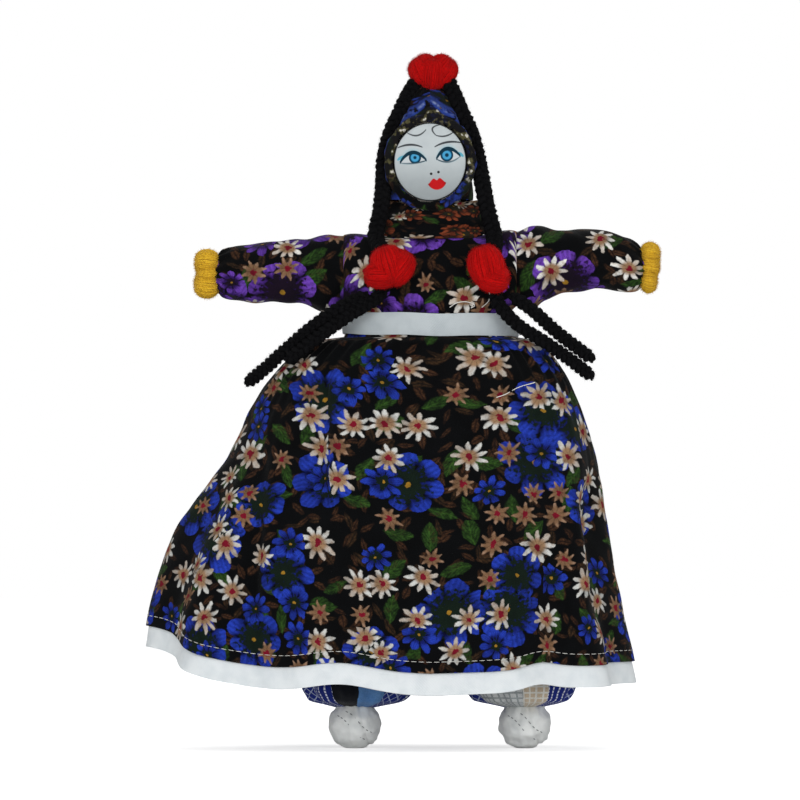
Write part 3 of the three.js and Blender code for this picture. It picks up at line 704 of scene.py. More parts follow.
@dataclass(frozen=True)
class ScarfPrint(FlowerPrint):
    """The same cotton where it is folded round the face, with blue and pale scraps of print on the folds and
    a painted highlight along the ridge of the fold behind the rolled edge.
    """

    middle: float = 0.0

    def over(self, t: Shade, colour: Sock) -> Sock:
        """Lays the scraps over the print.

        Args:
            t: The tree of the print.
            colour: The print's colour.

        Returns:
            Colour with the scraps on the rolled edge and on the fold behind it, and a painted highlight along
            that fold's ridge.
        """
        solid = t.object_place()
        x, y, z = t.split(solid)
        x, z = x - self.middle, z - FACE_Z
        away = (from_face(x, z) - 1) * FACE_HALF[0] - t.ease(abs(x), 6.0, 0.0) * t.ease(z, 10.0, 20.0) * 2.2
        front = t.ease(y, -2.0, -7.0) * t.ease(z, -9.0, -3.0)
        patch = t.noise(t.vector("MULTIPLY", solid, (1.0, 0.4, 1.0)), 2.6, 3.0)
        brim = t.ease(away, 3.6, 3.0) * front
        scraps = t.mix("121214", "5a5638", t.ease(patch, 0.5, 0.58) * 0.7)
        scraps = t.mix(scraps, "c4c1b6", t.ease(patch, 0.6, 0.65))
        scraps = t.mix(scraps, "2f4b9e", t.ease(patch, 0.69, 0.73))
        colour = t.mix(colour, scraps, brim * 0.9)
        band = t.ease(away, 3.2, 3.8) * t.ease(away, 7.2, 6.2) * front
        # Painted highlight: pale blue along the ridge of the arched fold, where light catches it.
        crest_highlight = t.ease(abs(away - 4.9), 0.9, 0.0) * t.ease(patch, 0.4, 0.65)
        blue = t.mix(t.mix("161e4c", "2f489c", t.noise(solid, 1.6)), "8f9fc4", crest_highlight * 0.6)
        return t.mix(colour, blue, band * t.ease(patch, 0.36, 0.44))


def from_face(x: Sock, z: Sock) -> Sock:
    """How far out a place is from the middle of the face, 1 at its edge."""
    return ((x / FACE_HALF[0]) ** 2 + (z / FACE_HALF[1]) ** 2) ** 0.5


@dataclass(frozen=True)
class WhiteCloth:
    """Plain white cotton, as tape or as the cover of a foot."""

    name: str
    colour: str
    grey: str
    pitch: float
    crumple: float

    def make(self) -> Material:
        """Builds the material.

        Returns:
            The material.
        """
        t = Shade(self.name)
        place = t.cloth_place()
        solid = t.object_place()
        cloud = t.noise(solid, 6.0, 3.0)
        fleck = t.noise(place, 0.4)
        colour = t.mix(self.colour, self.grey, t.ease(cloud, 0.35, 0.75) * 0.55 + fleck * 0.12)
        height = t.weave(place, self.pitch) * (1 - self.crumple) + t.noise(solid, 2.2, 4.0) * self.crumple
        return t.surface(colour, fleck * 0.15 + 0.72, height, lift=0.08 + 0.4 * self.crumple, sheen=0.1)


@dataclass(frozen=True)
class Wool:
    """Spun wool: fibres along the strand, each strand a little lighter or darker."""

    name: str
    colour: str
    deep: str
    sheen: float

    def make(self) -> Material:
        """Builds the material.

        Returns:
            The material.
        """
        t = Shade(self.name)
        solid = t.object_place()
        tint = t.node("ShaderNodeAttribute", attribute_name=STRAND_TINT)["Fac"]
        fibre = t.noise(solid, 0.35, 4.0)
        dark = t.ease(fibre, 0.3, 0.75) * 0.5 + t.noise(solid, 2.5) * 0.25 + tint * 0.3
        colour = t.mix(self.colour, self.deep, dark)
        return t.surface(colour, fibre * 0.2 + 0.75, fibre, lift=0.25, sheen=self.sheen)


@dataclass(frozen=True)
class Streaked:
    """A stuff under the cloth whose colour and relief follow one pattern, cloudy or drawn out in streaks."""

    name: str
    light: str
    dark: str
    stretch: Point
    size: float
    detail: float
    darkest: float
    roughness: Pair
    lift: float
    sheen: float = 0.0
    metallic: float = 0.0
    gloss: float = 0.06

    def make(self) -> Material:
        """Builds the material.

        Returns:
            The material.
        """
        t = Shade(self.name)
        streak = t.noise(t.vector("MULTIPLY", t.object_place(), self.stretch), self.size, self.detail)
        colour = t.mix(self.light, self.dark, t.ease(streak, 0.35, self.darkest))
        smooth, rough = self.roughness
        roughness = streak * (rough - smooth) + smooth if rough > smooth else smooth
        return t.surface(colour, roughness, streak, self.lift, self.sheen, self.metallic, self.gloss)


@dataclass(frozen=True)
class Arc:
    """A shallow arc on the face, in millimetres from the middle of the face."""

    start: Pair
    end: Pair
    rise: float

    @property
    def half(self) -> float:
        """Half the distance between its ends."""
        return math.dist(self.start, self.end) / 2


@dataclass
class Drawing:
    """A face in the making: its tree, the place across and up it, and the colour so far."""

    t: Shade
    x: Sock
    z: Sock
    colour: Sock

    def ink(self, colour: Any, where: Any) -> None:
        """Lays a colour over the face, fully where the other value is 1."""
        self.colour = self.t.mix(self.colour, colour, where)

    def dot(self, spot: Pair, radius: float) -> Sock:
        """1 inside a round dot."""
        dx, dz = self.x - spot[0], self.z - spot[1]
        return self.t.ease((dx * dx + dz * dz) ** 0.5, radius + 0.1, radius - 0.1)

    def chord(self, arc: Arc) -> tuple[Sock, Sock]:
        """Measures from the line between an arc's ends.

        Args:
            arc: The arc.

        Returns:
            Place along the line from -1 to 1, and height above it.
        """
        mid = [(a + b) / 2 for a, b in zip(arc.start, arc.end)]
        way = [(b - a) / (2 * arc.half) for a, b in zip(arc.start, arc.end)]
        dx, dz = self.x - mid[0], self.z - mid[1]
        return (dx * way[0] + dz * way[1]) / arc.half, dz * way[0] - dx * way[1]

    def over(self, arc: Arc) -> tuple[Sock, Sock]:
        """Place along an arc from -1 to 1, and height above it."""
        along, up = self.chord(arc)
        return along, up - (1 - along * along) * arc.rise

    def stroke(self, arc: Arc, width: float) -> Sock:
        """A pen stroke along an arc that thins towards its ends.

        Args:
            arc: The arc.
            width: Width of the stroke.

        Returns:
            1 on the stroke.
        """
        along, above = self.over(arc)
        steep = 2 * abs(arc.rise) / arc.half
        lean = (along * along * (steep * steep) + 1) ** 0.5
        reach = (1 - along * along * 0.6) * (width / 2)
        return self.t.ease(abs(above) / lean, reach + 0.12, reach - 0.05) * (abs(along) < 1)


@dataclass(frozen=True)
class Eye:
    """One painted eye, from its left corner to its right."""

    left: Pair
    right: Pair
    upper: float
    lower: float
    iris: Pair
    iris_radius: float
    outer: int
    wing: tuple[Pair, Pair]


@dataclass(frozen=True)
class FacePaint:
    """Fine white cloth with a drawn face: curls, brows, eyes, nostrils and lips."""

    middle: float
    name: str = "drawn_face"
    cloth: str = "afb6b8"
    ink: str = "2b2e32"
    line: str = "072a39"
    shadow: str = "78aab8"
    streak: str = "2394ad"
    rim: str = "0b4462"
    iris: str = "3f8fb8"
    lips: str = "ad1216"
    curls: tuple[Arc, ...] = (
        Arc((-8.2, 10.4), (-1.4, 11.6), -1.6),
        Arc((2.2, 9.4), (3.3, 13.2), 2.0),
        Arc((2.0, 9.5), (8.6, 10.9), -1.0),
    )
    brows: tuple[Arc, ...] = (Arc((-11.6, 5.0), (-2.7, 5.2), 1.0), Arc((1.6, 5.3), (11.3, 6.8), 1.0))
    eyes: tuple[Eye, ...] = (
        Eye((-10.8, -0.4), (-1.2, 0.5), 3.3, -0.6, (-5.4, 1.5), 2.1, -1, ((-11.7, 0.6), (-8.4, 1.9))),
        Eye((2.2, 1.0), (10.9, 2.1), 3.2, -1.6, (6.0, 2.4), 2.2, 1, ((9.4, 3.1), (12.0, 1.9))),
    )
    nostrils: tuple[Pair, ...] = ((0.4, -4.3), (3.0, -3.7))
    mouth: Arc = Arc((-0.8, -7.9), (5.8, -7.3), 0.0)

    def make(self) -> Material:
        """Builds the material.

        Returns:
            The material.
        """
        t = Shade(self.name)
        solid = t.object_place()
        x, _, z = t.split(solid)
        x, z = x - self.middle, z - FACE_Z
        colour = t.mix(self.cloth, "a1a8ac", t.ease(t.noise(solid, 5.0), 0.4, 0.8) * 0.5)
        # Painted shade: the face's cloth darkens towards the bottom, where the lower face falls in shade.
        colour = t.mix(colour, "858c8e", t.ease(z, 4.0, -13.0) * 0.85)
        face = Drawing(t, x, z, colour)
        for eye in self.eyes:
            self.draw_eye(face, eye)
        for arcs, width, weight in ((self.curls, 0.55, 0.9), (self.brows, 0.7, 0.95)):
            for arc in arcs:
                face.ink(self.ink, face.stroke(arc, width) * weight)
        for spot in self.nostrils:
            face.ink((0.02, 0.02, 0.02), face.dot(spot, 0.48))
        self.draw_lips(face)
        # Painted shadow: a thin dark line round the edge of the disc, where the gap between the face and the
        # scarf lies in shade.
        face.ink((0.008, 0.008, 0.009), t.ease(from_face(x, z), 0.965, 0.985))
        weave = t.weave(t.vector("MULTIPLY", solid, (1, 0, 0)), 0.3) * 0.5 + t.noise(solid, 0.4) * 0.5
        return t.surface(face.colour, 0.6, weave, lift=0.03, sheen=0.05)

    def draw_eye(self, face: Drawing, eye: Eye) -> None:
        """Paints one eye.

        Args:
            face: The face in the making.
            eye: The eye.
        """
        t = face.t
        lid = Arc(eye.left, eye.right, eye.upper)
        under = Arc(eye.left, eye.right, eye.lower)
        along, above = face.over(lid)
        _, below = face.over(under)
        glow = t.ease(above, 2.3, -0.6) * t.ease(abs(along), 1.3, 0.6) * t.ease(below, -0.6, 0.3)
        face.ink(self.shadow, glow * 0.85)
        face.ink(self.streak, face.stroke(Arc(*eye.wing, 0.3), 1.1) * 0.8)
        inside = t.ease(above, 0.1, -0.1) * t.ease(below, -0.1, 0.1) * (abs(along) < 1)
        face.ink("b4bbbe", inside)
        inks = (self.line, self.rim, self.iris, self.rim, self.line)
        for inset, ink in zip((-0.1, 0.3, 0.65, 1.5, 1.7), inks):
            face.ink(ink, face.dot(eye.iris, eye.iris_radius - inset) * inside)
        face.ink(self.line, face.stroke(lid, 1.3))
        face.ink(self.line, face.stroke(under, 0.55) * (0.75 - along * eye.outer * 0.2))

    def draw_lips(self, face: Drawing) -> None:
        """Paints the lips, with a dip in the middle of the upper one.

        Args:
            face: The face in the making.
        """
        t = face.t
        along, up = face.chord(self.mouth)
        out = abs(along)
        peak = t.ease(out, 1.0, 0.32) * 1.75 - t.ease(out, 0.3, 0.0) * 0.65
        bowl = (1 - along * along).most(0) ** 0.7 * -2.45
        shape = t.ease(up, peak + 0.1, peak - 0.2) * t.ease(up, bowl - 0.1, bowl + 0.2) * (out < 1)
        face.ink(t.mix(self.lips, "5c1216", t.ease(out, 0.6, 1.0) * 0.6), shape)


class Patch(Enum):
    """The scraps that the trousers are pieced from."""

    NAVY_LATTICE = 0
    PALE_BLUE = 1
    GINGHAM = 2
    TAN_CHECK = 3
    NAVY_DASHES = 4
    BLACK = 5


@dataclass(frozen=True)
class Patchwork:
    """Trousers pieced from upright scraps of blue, checked and dark cotton."""

    name: str
    order: tuple[Patch, ...]
    strip: float = 9.5

    def scrap(self, t: Shade, patch: Patch, across: Sock, along: Sock) -> Any:
        """Colour of one scrap.

        Args:
            t: The tree of the trousers.
            patch: Which scrap.
            across: Place round the leg, in millimetres.
            along: Place up the leg, in millimetres.

        Returns:
            Its colour.
        """
        upright = t.bars(across, 0.42)
        check = (upright > 0.36).most(t.bars(along, 0.42) > 0.36)
        if patch is Patch.NAVY_LATTICE:
            lattice = (t.bars(across + along, 0.28) > 0.43).most(t.bars(across - along, 0.28) > 0.43)
            return t.mix("1c2c80", "c9d4ee", lattice * 0.7)
        if patch is Patch.GINGHAM:
            return t.mix("d9dcdc", "8d9699", check * 0.8)
        if patch is Patch.TAN_CHECK:
            return t.mix("cdbba2", "e4e2da", check)
        if patch is Patch.NAVY_DASHES:
            return t.mix("1a2a7c", "dfe4ef", (upright > 0.38) * ((along * 0.8).fraction() > 0.3))
        if patch is Patch.BLACK:
            return "14161c"
        return t.mix("6f9ccf", "4a78b4", t.noise(t.cloth_place(), 3.0))

    def make(self) -> Material:
        """Builds the material.

        Returns:
            The material.
        """
        t = Shade(self.name)
        place = t.cloth_place()
        across, along, _ = t.split(place)
        edge = (t.noise(place, 4.0) - 0.5) * 1.6
        strip = ((across + edge) / self.strip).floor()
        turn = (strip / len(self.order)).fraction() * len(self.order)
        colour = self.scrap(t, self.order[0], across, along)
        for number, patch in enumerate(self.order[1:], 1):
            colour = t.mix(colour, self.scrap(t, patch, across, along), abs(turn - number) < 0.4)
        colour, height, _ = t.cotton(place, colour, 0.5, 1.4)
        return t.surface(colour, 0.85, height, lift=0.1, sheen=0.08)


class Finishes:
    """Every material of the doll, made once."""

    def __init__(self, middle: float) -> None:
        """Builds them all.

        Args:
            middle: The doll's middle line in the frame, in millimetres.
        """
        blue = flower_layers("233ba8", "141e64", "0e1912", "c4c5c1", 1.0)
        purple = flower_layers("6a40ac", "2f1758", "170d1c", "e0dfd9", 1.08, 0.85)
        dull_blue = flower_layers("2b3f96", "182050", "171d16", "c6c4bc", 0.7)[:5]
        rust = flower_layers("96492c", "4a2216", "26241a", "c6c4bc", 0.8)
        self.skirt = FlowerPrint("skirt_flowers", blue).make()
        self.bodice = FlowerPrint("bodice_flowers", purple).make()
        self.scarf = ScarfPrint("scarf_flowers", dull_blue, 0.1, middle=middle).make()
        self.neck = FlowerPrint("neck_flowers", rust, 0.25).make()
        self.tape = WhiteCloth("white_tape", "dfe4e6", "c8d0d4", 0.55, 0.15).make()
        # Painted shade: the waist tape is the white tape made darker, for the shade that falls on it under
        # the bodice.
        self.waist_tape = WhiteCloth("shaded_waist_tape", "b2babd", "9da5aa", 0.55, 0.15).make()
        self.cotton = WhiteCloth("white_cotton", "eceeec", "c6caca", 0.8, 0.6).make()
        self.face = FacePaint(middle).make()
        left = (Patch.PALE_BLUE, Patch.NAVY_LATTICE, Patch.NAVY_DASHES, Patch.NAVY_LATTICE, Patch.NAVY_DASHES,
                Patch.BLACK)
        right = (Patch.TAN_CHECK, Patch.NAVY_DASHES, Patch.NAVY_LATTICE, Patch.NAVY_LATTICE, Patch.GINGHAM,
                 Patch.GINGHAM)
        self.trousers = (Patchwork("left_patches", left).make(), Patchwork("right_patches", right).make())
        self.black = Wool("black_wool", "0c0c0e", "040405", 0.0).make()
        self.red = Wool("red_wool", "cc0c0c", "820404", 0.02).make()
        self.yellow = Wool("yellow_wool", "e4ba34", "ab7d14", 0.05).make()
        self.thread = Wool("white_thread", "ecebe6", "bdbbb4", 0.1).make()
        self.grey_thread = Wool("grey_thread", "8d9092", "6a6d70", 0.05).make()
        self.wadding = Streaked("cotton_wadding", "f2eee4", "d8d0c0", (1.0, 1.0, 1.0), 4.0, 5.0,
                                0.75, (0.95, 0.95), 0.8, sheen=0.2).make()
        self.wood = Streaked("dowel", "c69a66", "8e6236", (2.2, 2.2, 0.08), 1.2, 4.0, 0.7,
                             (0.55, 0.75), 0.12, gloss=0.4).make()
        self.wire = Streaked("annealed_wire", "a7a9ab", "6d6f72", (0.15, 3.0, 3.0), 0.6, 3.0, 0.75,
                             (0.3, 0.55), 0.03, metallic=1.0).make()


class Rig(Tree):
    """A geometry tree with named inputs that turns a guide mesh into a finished plain mesh."""

    def __init__(self, name: str) -> None:
        """Starts a tree whose first input is the guide.

        Args:
            name: Name of the tree.
        """
        super().__init__(bpy.data.node_groups.new(name, "GeometryNodeTree"))
        self.sockets: dict[str, bpy.types.NodeTreeInterfaceSocket] = {}
        for way in ("INPUT", "OUTPUT"):
            self.tree.interface.new_socket("Geometry", in_out=way, socket_type="NodeSocketGeometry")
        self.entry = self.node("NodeGroupInput")

    def value(self, name: str, kind: str = "NodeSocketFloat") -> Sock:
        """Adds a named input of a type and gives its value inside the tree."""
        self.sockets[name] = self.tree.interface.new_socket(name, in_out="INPUT", socket_type=kind)
        return self.entry[name]

    def lines(self) -> Sock:
        """The guide's lines as curves."""
        return self.node("GeometryNodeMeshToCurve", {"Mesh": self.entry["Geometry"]})[0]

    def strew(self, points: Sock, shape: Sock, turn: Sock) -> Sock:
        """Sets a small shape on every point.

        Args:
            points: The points.
            shape: A shape of length 1 along z and width 1.
            turn: How it is turned on each point.

        Returns:
            The shapes, as long and wide as two named inputs say.
        """
        length, width = self.value("Length"), self.value("Width")
        size = self.node("ShaderNodeCombineXYZ", {0: width, 1: width, 2: length})[0]
        inputs = {"Points": points, "Instance": shape, "Rotation": turn, "Scale": size}
        return self.node("GeometryNodeInstanceOnPoints", inputs)[0]

    def close(self, geometry: Sock) -> "Rig":
        """Ends the tree in plain smooth faces of the given material.

        Args:
            geometry: What the tree has made.

        Returns:
            The finished rig.
        """
        material = self.value("Material", "NodeSocketMaterial")
        real = self.node("GeometryNodeRealizeInstances", {"Geometry": geometry})[0]
        smooth = self.node("GeometryNodeSetShadeSmooth", {0: real})[0]
        dressed = self.node("GeometryNodeSetMaterial", {"Geometry": smooth, "Material": material})[0]
        self.node("NodeGroupOutput", {0: dressed})
        return self

    def run(self, piece: Piece, **values: Any) -> Piece:
        """Runs the tree on a piece and keeps the result as its plain mesh.

        Args:
            piece: The object that holds the guide.
            **values: A value for each named input.

        Returns:
            The same object.
        """
        modifier = piece.modifiers.new(self.tree.name, "NODES")
        modifier.node_group = self.tree
        for name, value in values.items():
            modifier[self.sockets[name].identifier] = value
        return freeze(piece)


def freeze(piece: Piece) -> Piece:
    """Turns a piece with its modifiers into a plain mesh.

    Args:
        piece: The piece.

    Returns:
        The same piece.
    """
    graph = bpy.context.evaluated_depsgraph_get()
    made = bpy.data.meshes.new_from_object(piece.evaluated_get(graph), depsgraph=graph)
    piece.modifiers.clear()
    spent = piece.data
    piece.data = made
    bpy.data.meshes.remove(spent)
    made.name = piece.name
    return piece


def strand_rig() -> Rig:
    """Makes the tree that sweeps every line of its guide into a round strand.

    Returns:
        The rig.
    """
    rig = Rig("strands")
    sides = rig.value("Sides", "NodeSocketInt")
    girth = rig.node("GeometryNodeInputNamedAttribute", {"Name": STRAND_RADIUS}, data_type="FLOAT")[0]
    curve = rig.node("GeometryNodeSetCurveRadius", {"Curve": rig.lines(), "Radius": girth})[0]
    circle = rig.node("GeometryNodeCurvePrimitiveCircle", {"Resolution": sides, "Radius": 1.0})["Curve"]
    scale = rig.node("GeometryNodeInputRadius")[0]
    inputs = {"Curve": curve, "Profile Curve": circle, "Scale": scale, "Fill Caps": True}
    return rig.close(rig.node("GeometryNodeCurveToMesh", inputs)[0])


def stitch_rig() -> Rig:
    """Makes the tree that lays short stitches of thread along every line of its guide.

    Returns:
        The rig.
    """
    rig = Rig("stitches")
    inputs = {"Curve": rig.lines(), "Length": rig.value("Pitch")}
    evenly = rig.node("GeometryNodeResampleCurve", inputs, mode="LENGTH")[0]
    along = rig.node("GeometryNodeInputTangent")[0]
    turned = rig.node("FunctionNodeAlignRotationToVector", {"Vector": along}, axis="Z")[0]
    bead = rig.node("GeometryNodeMeshUVSphere", {"Segments": 6, "Rings": 5, "Radius": 0.5})["Mesh"]
    return rig.close(rig.strew(evenly, bead, turned))


def fuzz_rig() -> Rig:
    """Makes the tree that keeps its guide and sets short loose fibres all over it.

    Returns:
        The rig.
    """
    rig = Rig("fuzz")
    body = rig.entry["Geometry"]
    seed = rig.value("Seed", "NodeSocketInt")
    inputs = {"Mesh": body, "Density": rig.value("Density"), "Seed": seed}
    spread = rig.node("GeometryNodeDistributePointsOnFaces", inputs)
    inputs = {0: (-1.1,) * 3, 1: (1.1,) * 3, "Seed": seed}
    lean = rig.node("FunctionNodeRandomValue", inputs, data_type="FLOAT_VECTOR")[0]
    turn = rig.node("FunctionNodeEulerToRotation", {0: lean})[0]
    inputs = {"Rotation": spread["Rotation"], "Rotate By": turn}
    tilted = rig.node("FunctionNodeRotateRotation", inputs, rotation_space="LOCAL")[0]
    inputs = {"Vertices": 3, "Radius Top": 0.12, "Radius Bottom": 0.5, "Depth": 1.0}
    fibre = rig.node("GeometryNodeMeshCone", inputs, fill_type="TRIANGLE_FAN")["Mesh"]
    fibres = rig.strew(spread["Points"], fibre, tilted)
    joined = rig.node("GeometryNodeJoinGeometry")
    for part in (body, fibres):
        rig.feed(joined.bare.inputs[0], part)
    return rig.close(joined[0])


@dataclass
class Sheet:
    """A grid of places on one piece of cloth, row by row, with its place on the flat cloth."""

    places: np.ndarray
    flat: np.ndarray
    closed: bool = False

    @classmethod
    def rolled(cls, places: np.ndarray, along: np.ndarray, girth: float) -> "Sheet":
        """Cloth of so much girth that goes all round, with its seam at the first place of every row."""
        across = np.linspace(0, girth, places.shape[1] + 1)
        return cls(places, grid(across[None, :], along[:, None]), True)

    @classmethod
    def skin(cls, places: np.ndarray) -> "Sheet":
        """The skin of a stuffed or wound form, whose place on a flat cloth isn't used."""
        return cls.rolled(places, np.arange(len(places), dtype=float), float(places.shape[1]))

    def faces(self, first: int) -> tuple[np.ndarray, np.ndarray]:
        """The sheet's four-sided faces and the flat place of each corner.

        Args:
            first: Number of the sheet's first vertex.

        Returns:
            Vertex numbers, and flat places in millimetres.
        """
        rows, columns = self.places.shape[:2]
        spans = columns if self.closed else columns - 1
        i, j = (v.ravel() for v in np.meshgrid(np.arange(rows - 1), np.arange(spans), indexing="ij"))
        corners = ((i, j), (i, j + 1), (i + 1, j + 1), (i + 1, j))
        numbers = np.stack([row * columns + column % columns for row, column in corners], 1)
        return numbers + first, np.stack([self.flat[corner] for corner in corners], 1)


@dataclass(frozen=True)
class Lobe:
    """A rounded lump of yarn whose strands run from one end to the other."""

    start: Point
    end: Point
    girth: Pair

    def strand(self, angle: np.ndarray, size: float) -> np.ndarray:
        """Places from end to end of the lump.

        Args:
            angle: Way round the lump at each place.
            size: Share of the lump's girth.

        Returns:
            The places.
        """
        start, end = np.array(self.start), np.array(self.end)
        axis = (end - start) / np.linalg.norm(end - start)
        wide = np.cross((0, 1, 0), axis)
        wide /= np.linalg.norm(wide)
        deep = np.cross(axis, wide)
        t = np.linspace(0, 1, len(angle))
        swell = np.sin(math.pi * (0.03 + 0.94 * t)) ** 0.75
        rise = 0.5 - 0.5 * np.cos(math.pi * t)
        spread = np.cos(angle)[:, None] * wide * self.girth[0]
        spread = spread + np.sin(angle)[:, None] * deep * self.girth[1]
        return start + rise[:, None] * (end - start) + size * swell[:, None] * spread


class Bench:
    """Where the doll stands in the frame, its finishes, and how its pieces become objects there."""

    def __init__(self) -> None:
        """Finds the doll's middle line and makes the trees and finishes that the pieces use."""
        low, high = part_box("spine_stick")
        self.middle = (low.x + high.x) / 2 / MM
        self.strands = strand_rig()
        self.stitches = stitch_rig()
        self.fuzz = fuzz_rig()
        self.look = Finishes(self.middle)

    def metres(self, places: Any) -> np.ndarray:
        """Places in the frame, in metres."""
        return (np.asarray(places, float) + (self.middle, 0, 0)) * MM

    def spot(self, x: float, y: float, z: float) -> Point:
        """One place in the frame, in metres."""
        return tuple(float(v) for v in self.metres((x, y, z)))

    def blank(self, name: str, places: np.ndarray, edges: Any, faces: Any) -> Piece:
        """Makes an object of bare mesh at the doll's place.

        Args:
            name: Name of the piece.
            places: Its vertices.
            edges: Vertex numbers of its edges.
            faces: Vertex numbers of its faces.

        Returns:
            The object.
        """
        mesh = bpy.data.meshes.new(name)
        mesh.from_pydata(self.metres(places).tolist(), edges, faces)
        piece = bpy.data.objects.new(name, mesh)
        bpy.context.scene.collection.objects.link(piece)
        return piece

    def solid(self, name: str, material: Material, *sheets: Sheet) -> Piece:
        """Makes faces of sheets, joined where they meet.

        Args:
            name: Name of the piece.
            material: Its finish.
            *sheets: Its surfaces.

        Returns:
            The piece, with its faces outwards.
        """
        faces, flats, first = [], [], 0
        for sheet in sheets:
            corners, flat = sheet.faces(first)
            faces.append(corners)
            flats.append(flat)
            first += sheet.places.size // 3
        places = np.vstack([sheet.places.reshape(-1, 3) for sheet in sheets])
        piece = self.blank(name, places, [], np.vstack(faces).tolist())
        layer = piece.data.uv_layers.new(name="UVMap")
        layer.data.foreach_set("uv", (np.vstack(flats).reshape(-1) * MM).astype(np.float32))
        made = bmesh.new()
        made.from_mesh(piece.data)
        bmesh.ops.remove_doubles(made, verts=made.verts, dist=WELD * MM)
        bmesh.ops.recalc_face_normals(made, faces=made.faces)
        made.to_mesh(piece.data)
        made.free()
        piece.data.materials.append(material)
        piece.data.polygons.foreach_set("use_smooth", [True] * len(piece.data.polygons))
        return piece

    def cloth(self, name: str, material: Material, *sheets: Sheet, thickness: float = CLOTH,
              axes: Point = (1, 1, 0), middle: Any = (0, 0, 0)) -> Piece:
        """Makes cloth with a real thickness, which goes inwards from its sheets.

        Args:
            name: Name of the piece.
            material: Its finish.
            *sheets: The outer surface.
            thickness: Of the cloth, in millimetres.
            axes: 1 for each direction that counts in telling outwards from inwards.
            middle: A place inside, in metres.

        Returns:
            The piece.
        """
        piece = self.solid(name, material, *sheets)
        centres = np.array([p.center for p in piece.data.polygons])
        normals = np.array([p.normal for p in piece.data.polygons])
        if (normals * (centres - middle) * axes).sum() < 0:
            piece.data.flip_normals()
        wall = piece.modifiers.new("thickness", "SOLIDIFY")
        wall.thickness = thickness * MM
        wall.offset = -1.0
        wall.use_quality_normals = True
        freeze(piece)
        piece.data.set_sharp_from_angle(angle=math.radians(60))
        return piece

    def lines(self, name: str, paths: Sequence[np.ndarray], girths: Sequence[Any], seed: int) -> Piece:
        """Makes a guide of bare lines, each with its strand's radius and tint.

        Args:
            name: Name of the piece.
            paths: Places along each line.
            girths: Radius of each strand, one value or one a place.
            seed: For the tints.

        Returns:
            The guide.
        """
        dice = np.random.default_rng(seed)
        edges, radii, tints, first = [], [], [], 0
        for path, girth in zip(paths, girths):
            count = len(path)
            edges += [(first + i, first + i + 1) for i in range(count - 1)]
            radii.append(np.broadcast_to(np.asarray(girth, float) * MM, count))
            tints.append(np.full(count, dice.uniform()))
            first += count
        piece = self.blank(name, np.vstack(paths), edges, [])
        for label, values in ((STRAND_RADIUS, radii), (STRAND_TINT, tints)):
            kept = piece.data.attributes.new(label, "FLOAT", "POINT")
            kept.data.foreach_set("value", np.concatenate(values).astype(np.float32))
        return piece

    def yarn(self, name: str, paths: Sequence[np.ndarray], girths: Sequence[Any], material: Material,
             seed: int, sides: int = 6) -> Piece:
        """Round strands along lines, with so many sides each."""
        guide = self.lines(name, paths, girths, seed)
        return self.strands.run(guide, Sides=sides, Material=material)

    def stitched(self, name: str, paths: Sequence[np.ndarray], sizes: Point, thread: Material,
                 seed: int) -> Piece:
        """Stitches along lines.

        Args:
            name: Name of the piece.
            paths: The lines.
            sizes: Pitch, length and width of the stitches.
            thread: Their finish.
            seed: For their tints.

        Returns:
            The piece.
        """
        guide = self.lines(name, paths, [0.2] * len(paths), seed)
        pitch, length, width = (size * MM for size in sizes)
        return self.stitches.run(guide, Pitch=pitch, Length=length, Width=width, Material=thread)

    def fuzzy(self, piece: Piece, wool: Material, density: float, width: float, seed: int) -> Piece:
        """Sets fibres a millimetre long all over a piece, so many to the square metre."""
        values = {"Density": density, "Length": 1.0 * MM, "Width": width * MM, "Seed": seed}
        return self.fuzz.run(piece, Material=wool, **values)

    def bunch(self, name: str, lobes: Sequence[Lobe], wool: Material, seed: int, strands: int) -> Piece:
        """Makes a bunch of yarn from lumps, with a core, surface strands and loose fibres.

        Args:
            name: Name of the piece.
            lobes: The lumps.
            wool: Its finish.
            seed: For its unevenness.
            strands: Strands round each lump.

        Returns:
            The piece.
        """
        dice = np.random.default_rng(seed)
        t = np.linspace(0, 1, LOBE_ROWS)
        paths, girths, cores = [], [], []
        for lobe in lobes:
            mean = sum(lobe.girth) / 2
            for k in range(strands):
                angle = TAU * (k + dice.uniform(-0.25, 0.25)) / strands
                twist = angle + dice.uniform(0.15, 0.45) * (t - 0.5)
                paths.append(lobe.strand(twist, dice.uniform(0.9, 0.97)))
                girths.append(mean * math.pi / strands * (0.35 + 0.75 * np.sin(math.pi * t)))
            core = np.stack([lobe.strand(np.full(len(t), a), 0.9) for a in ring(LOBE_SIDES)], axis=1)
            caps = [np.broadcast_to(core[i].mean(0), core[:1].shape) for i in (0, -1)]
            cores.append(Sheet.skin(np.concatenate([caps[0], core, caps[1]])))
        body = self.solid(f"{name}_core", wool, *cores)
        yarn = self.yarn(name, paths, girths, wool, seed, 5)
        return self.fuzzy(self.join(yarn, body), wool, BUNCH_FIBRES, 0.09, seed)

    @staticmethod
    def join(kept: Piece, *others: Piece) -> Piece:
        """Makes one piece of several.

        Args:
            kept: The piece that takes in the others.
            *others: The others, which are gone afterwards.

        Returns:
            The piece.
        """
        both = [kept, *others]
        with bpy.context.temp_override(active_object=kept, object=kept, selected_objects=both,
                                       selected_editable_objects=both):
            bpy.ops.object.join()
        return kept

    def place(self, piece: Piece, body: str, slot: str, *nodes: str) -> Piece:
        """Sets a finished piece on its body, in place of nodes."""
        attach(piece, body)
        return self.label(piece, slot, *nodes)

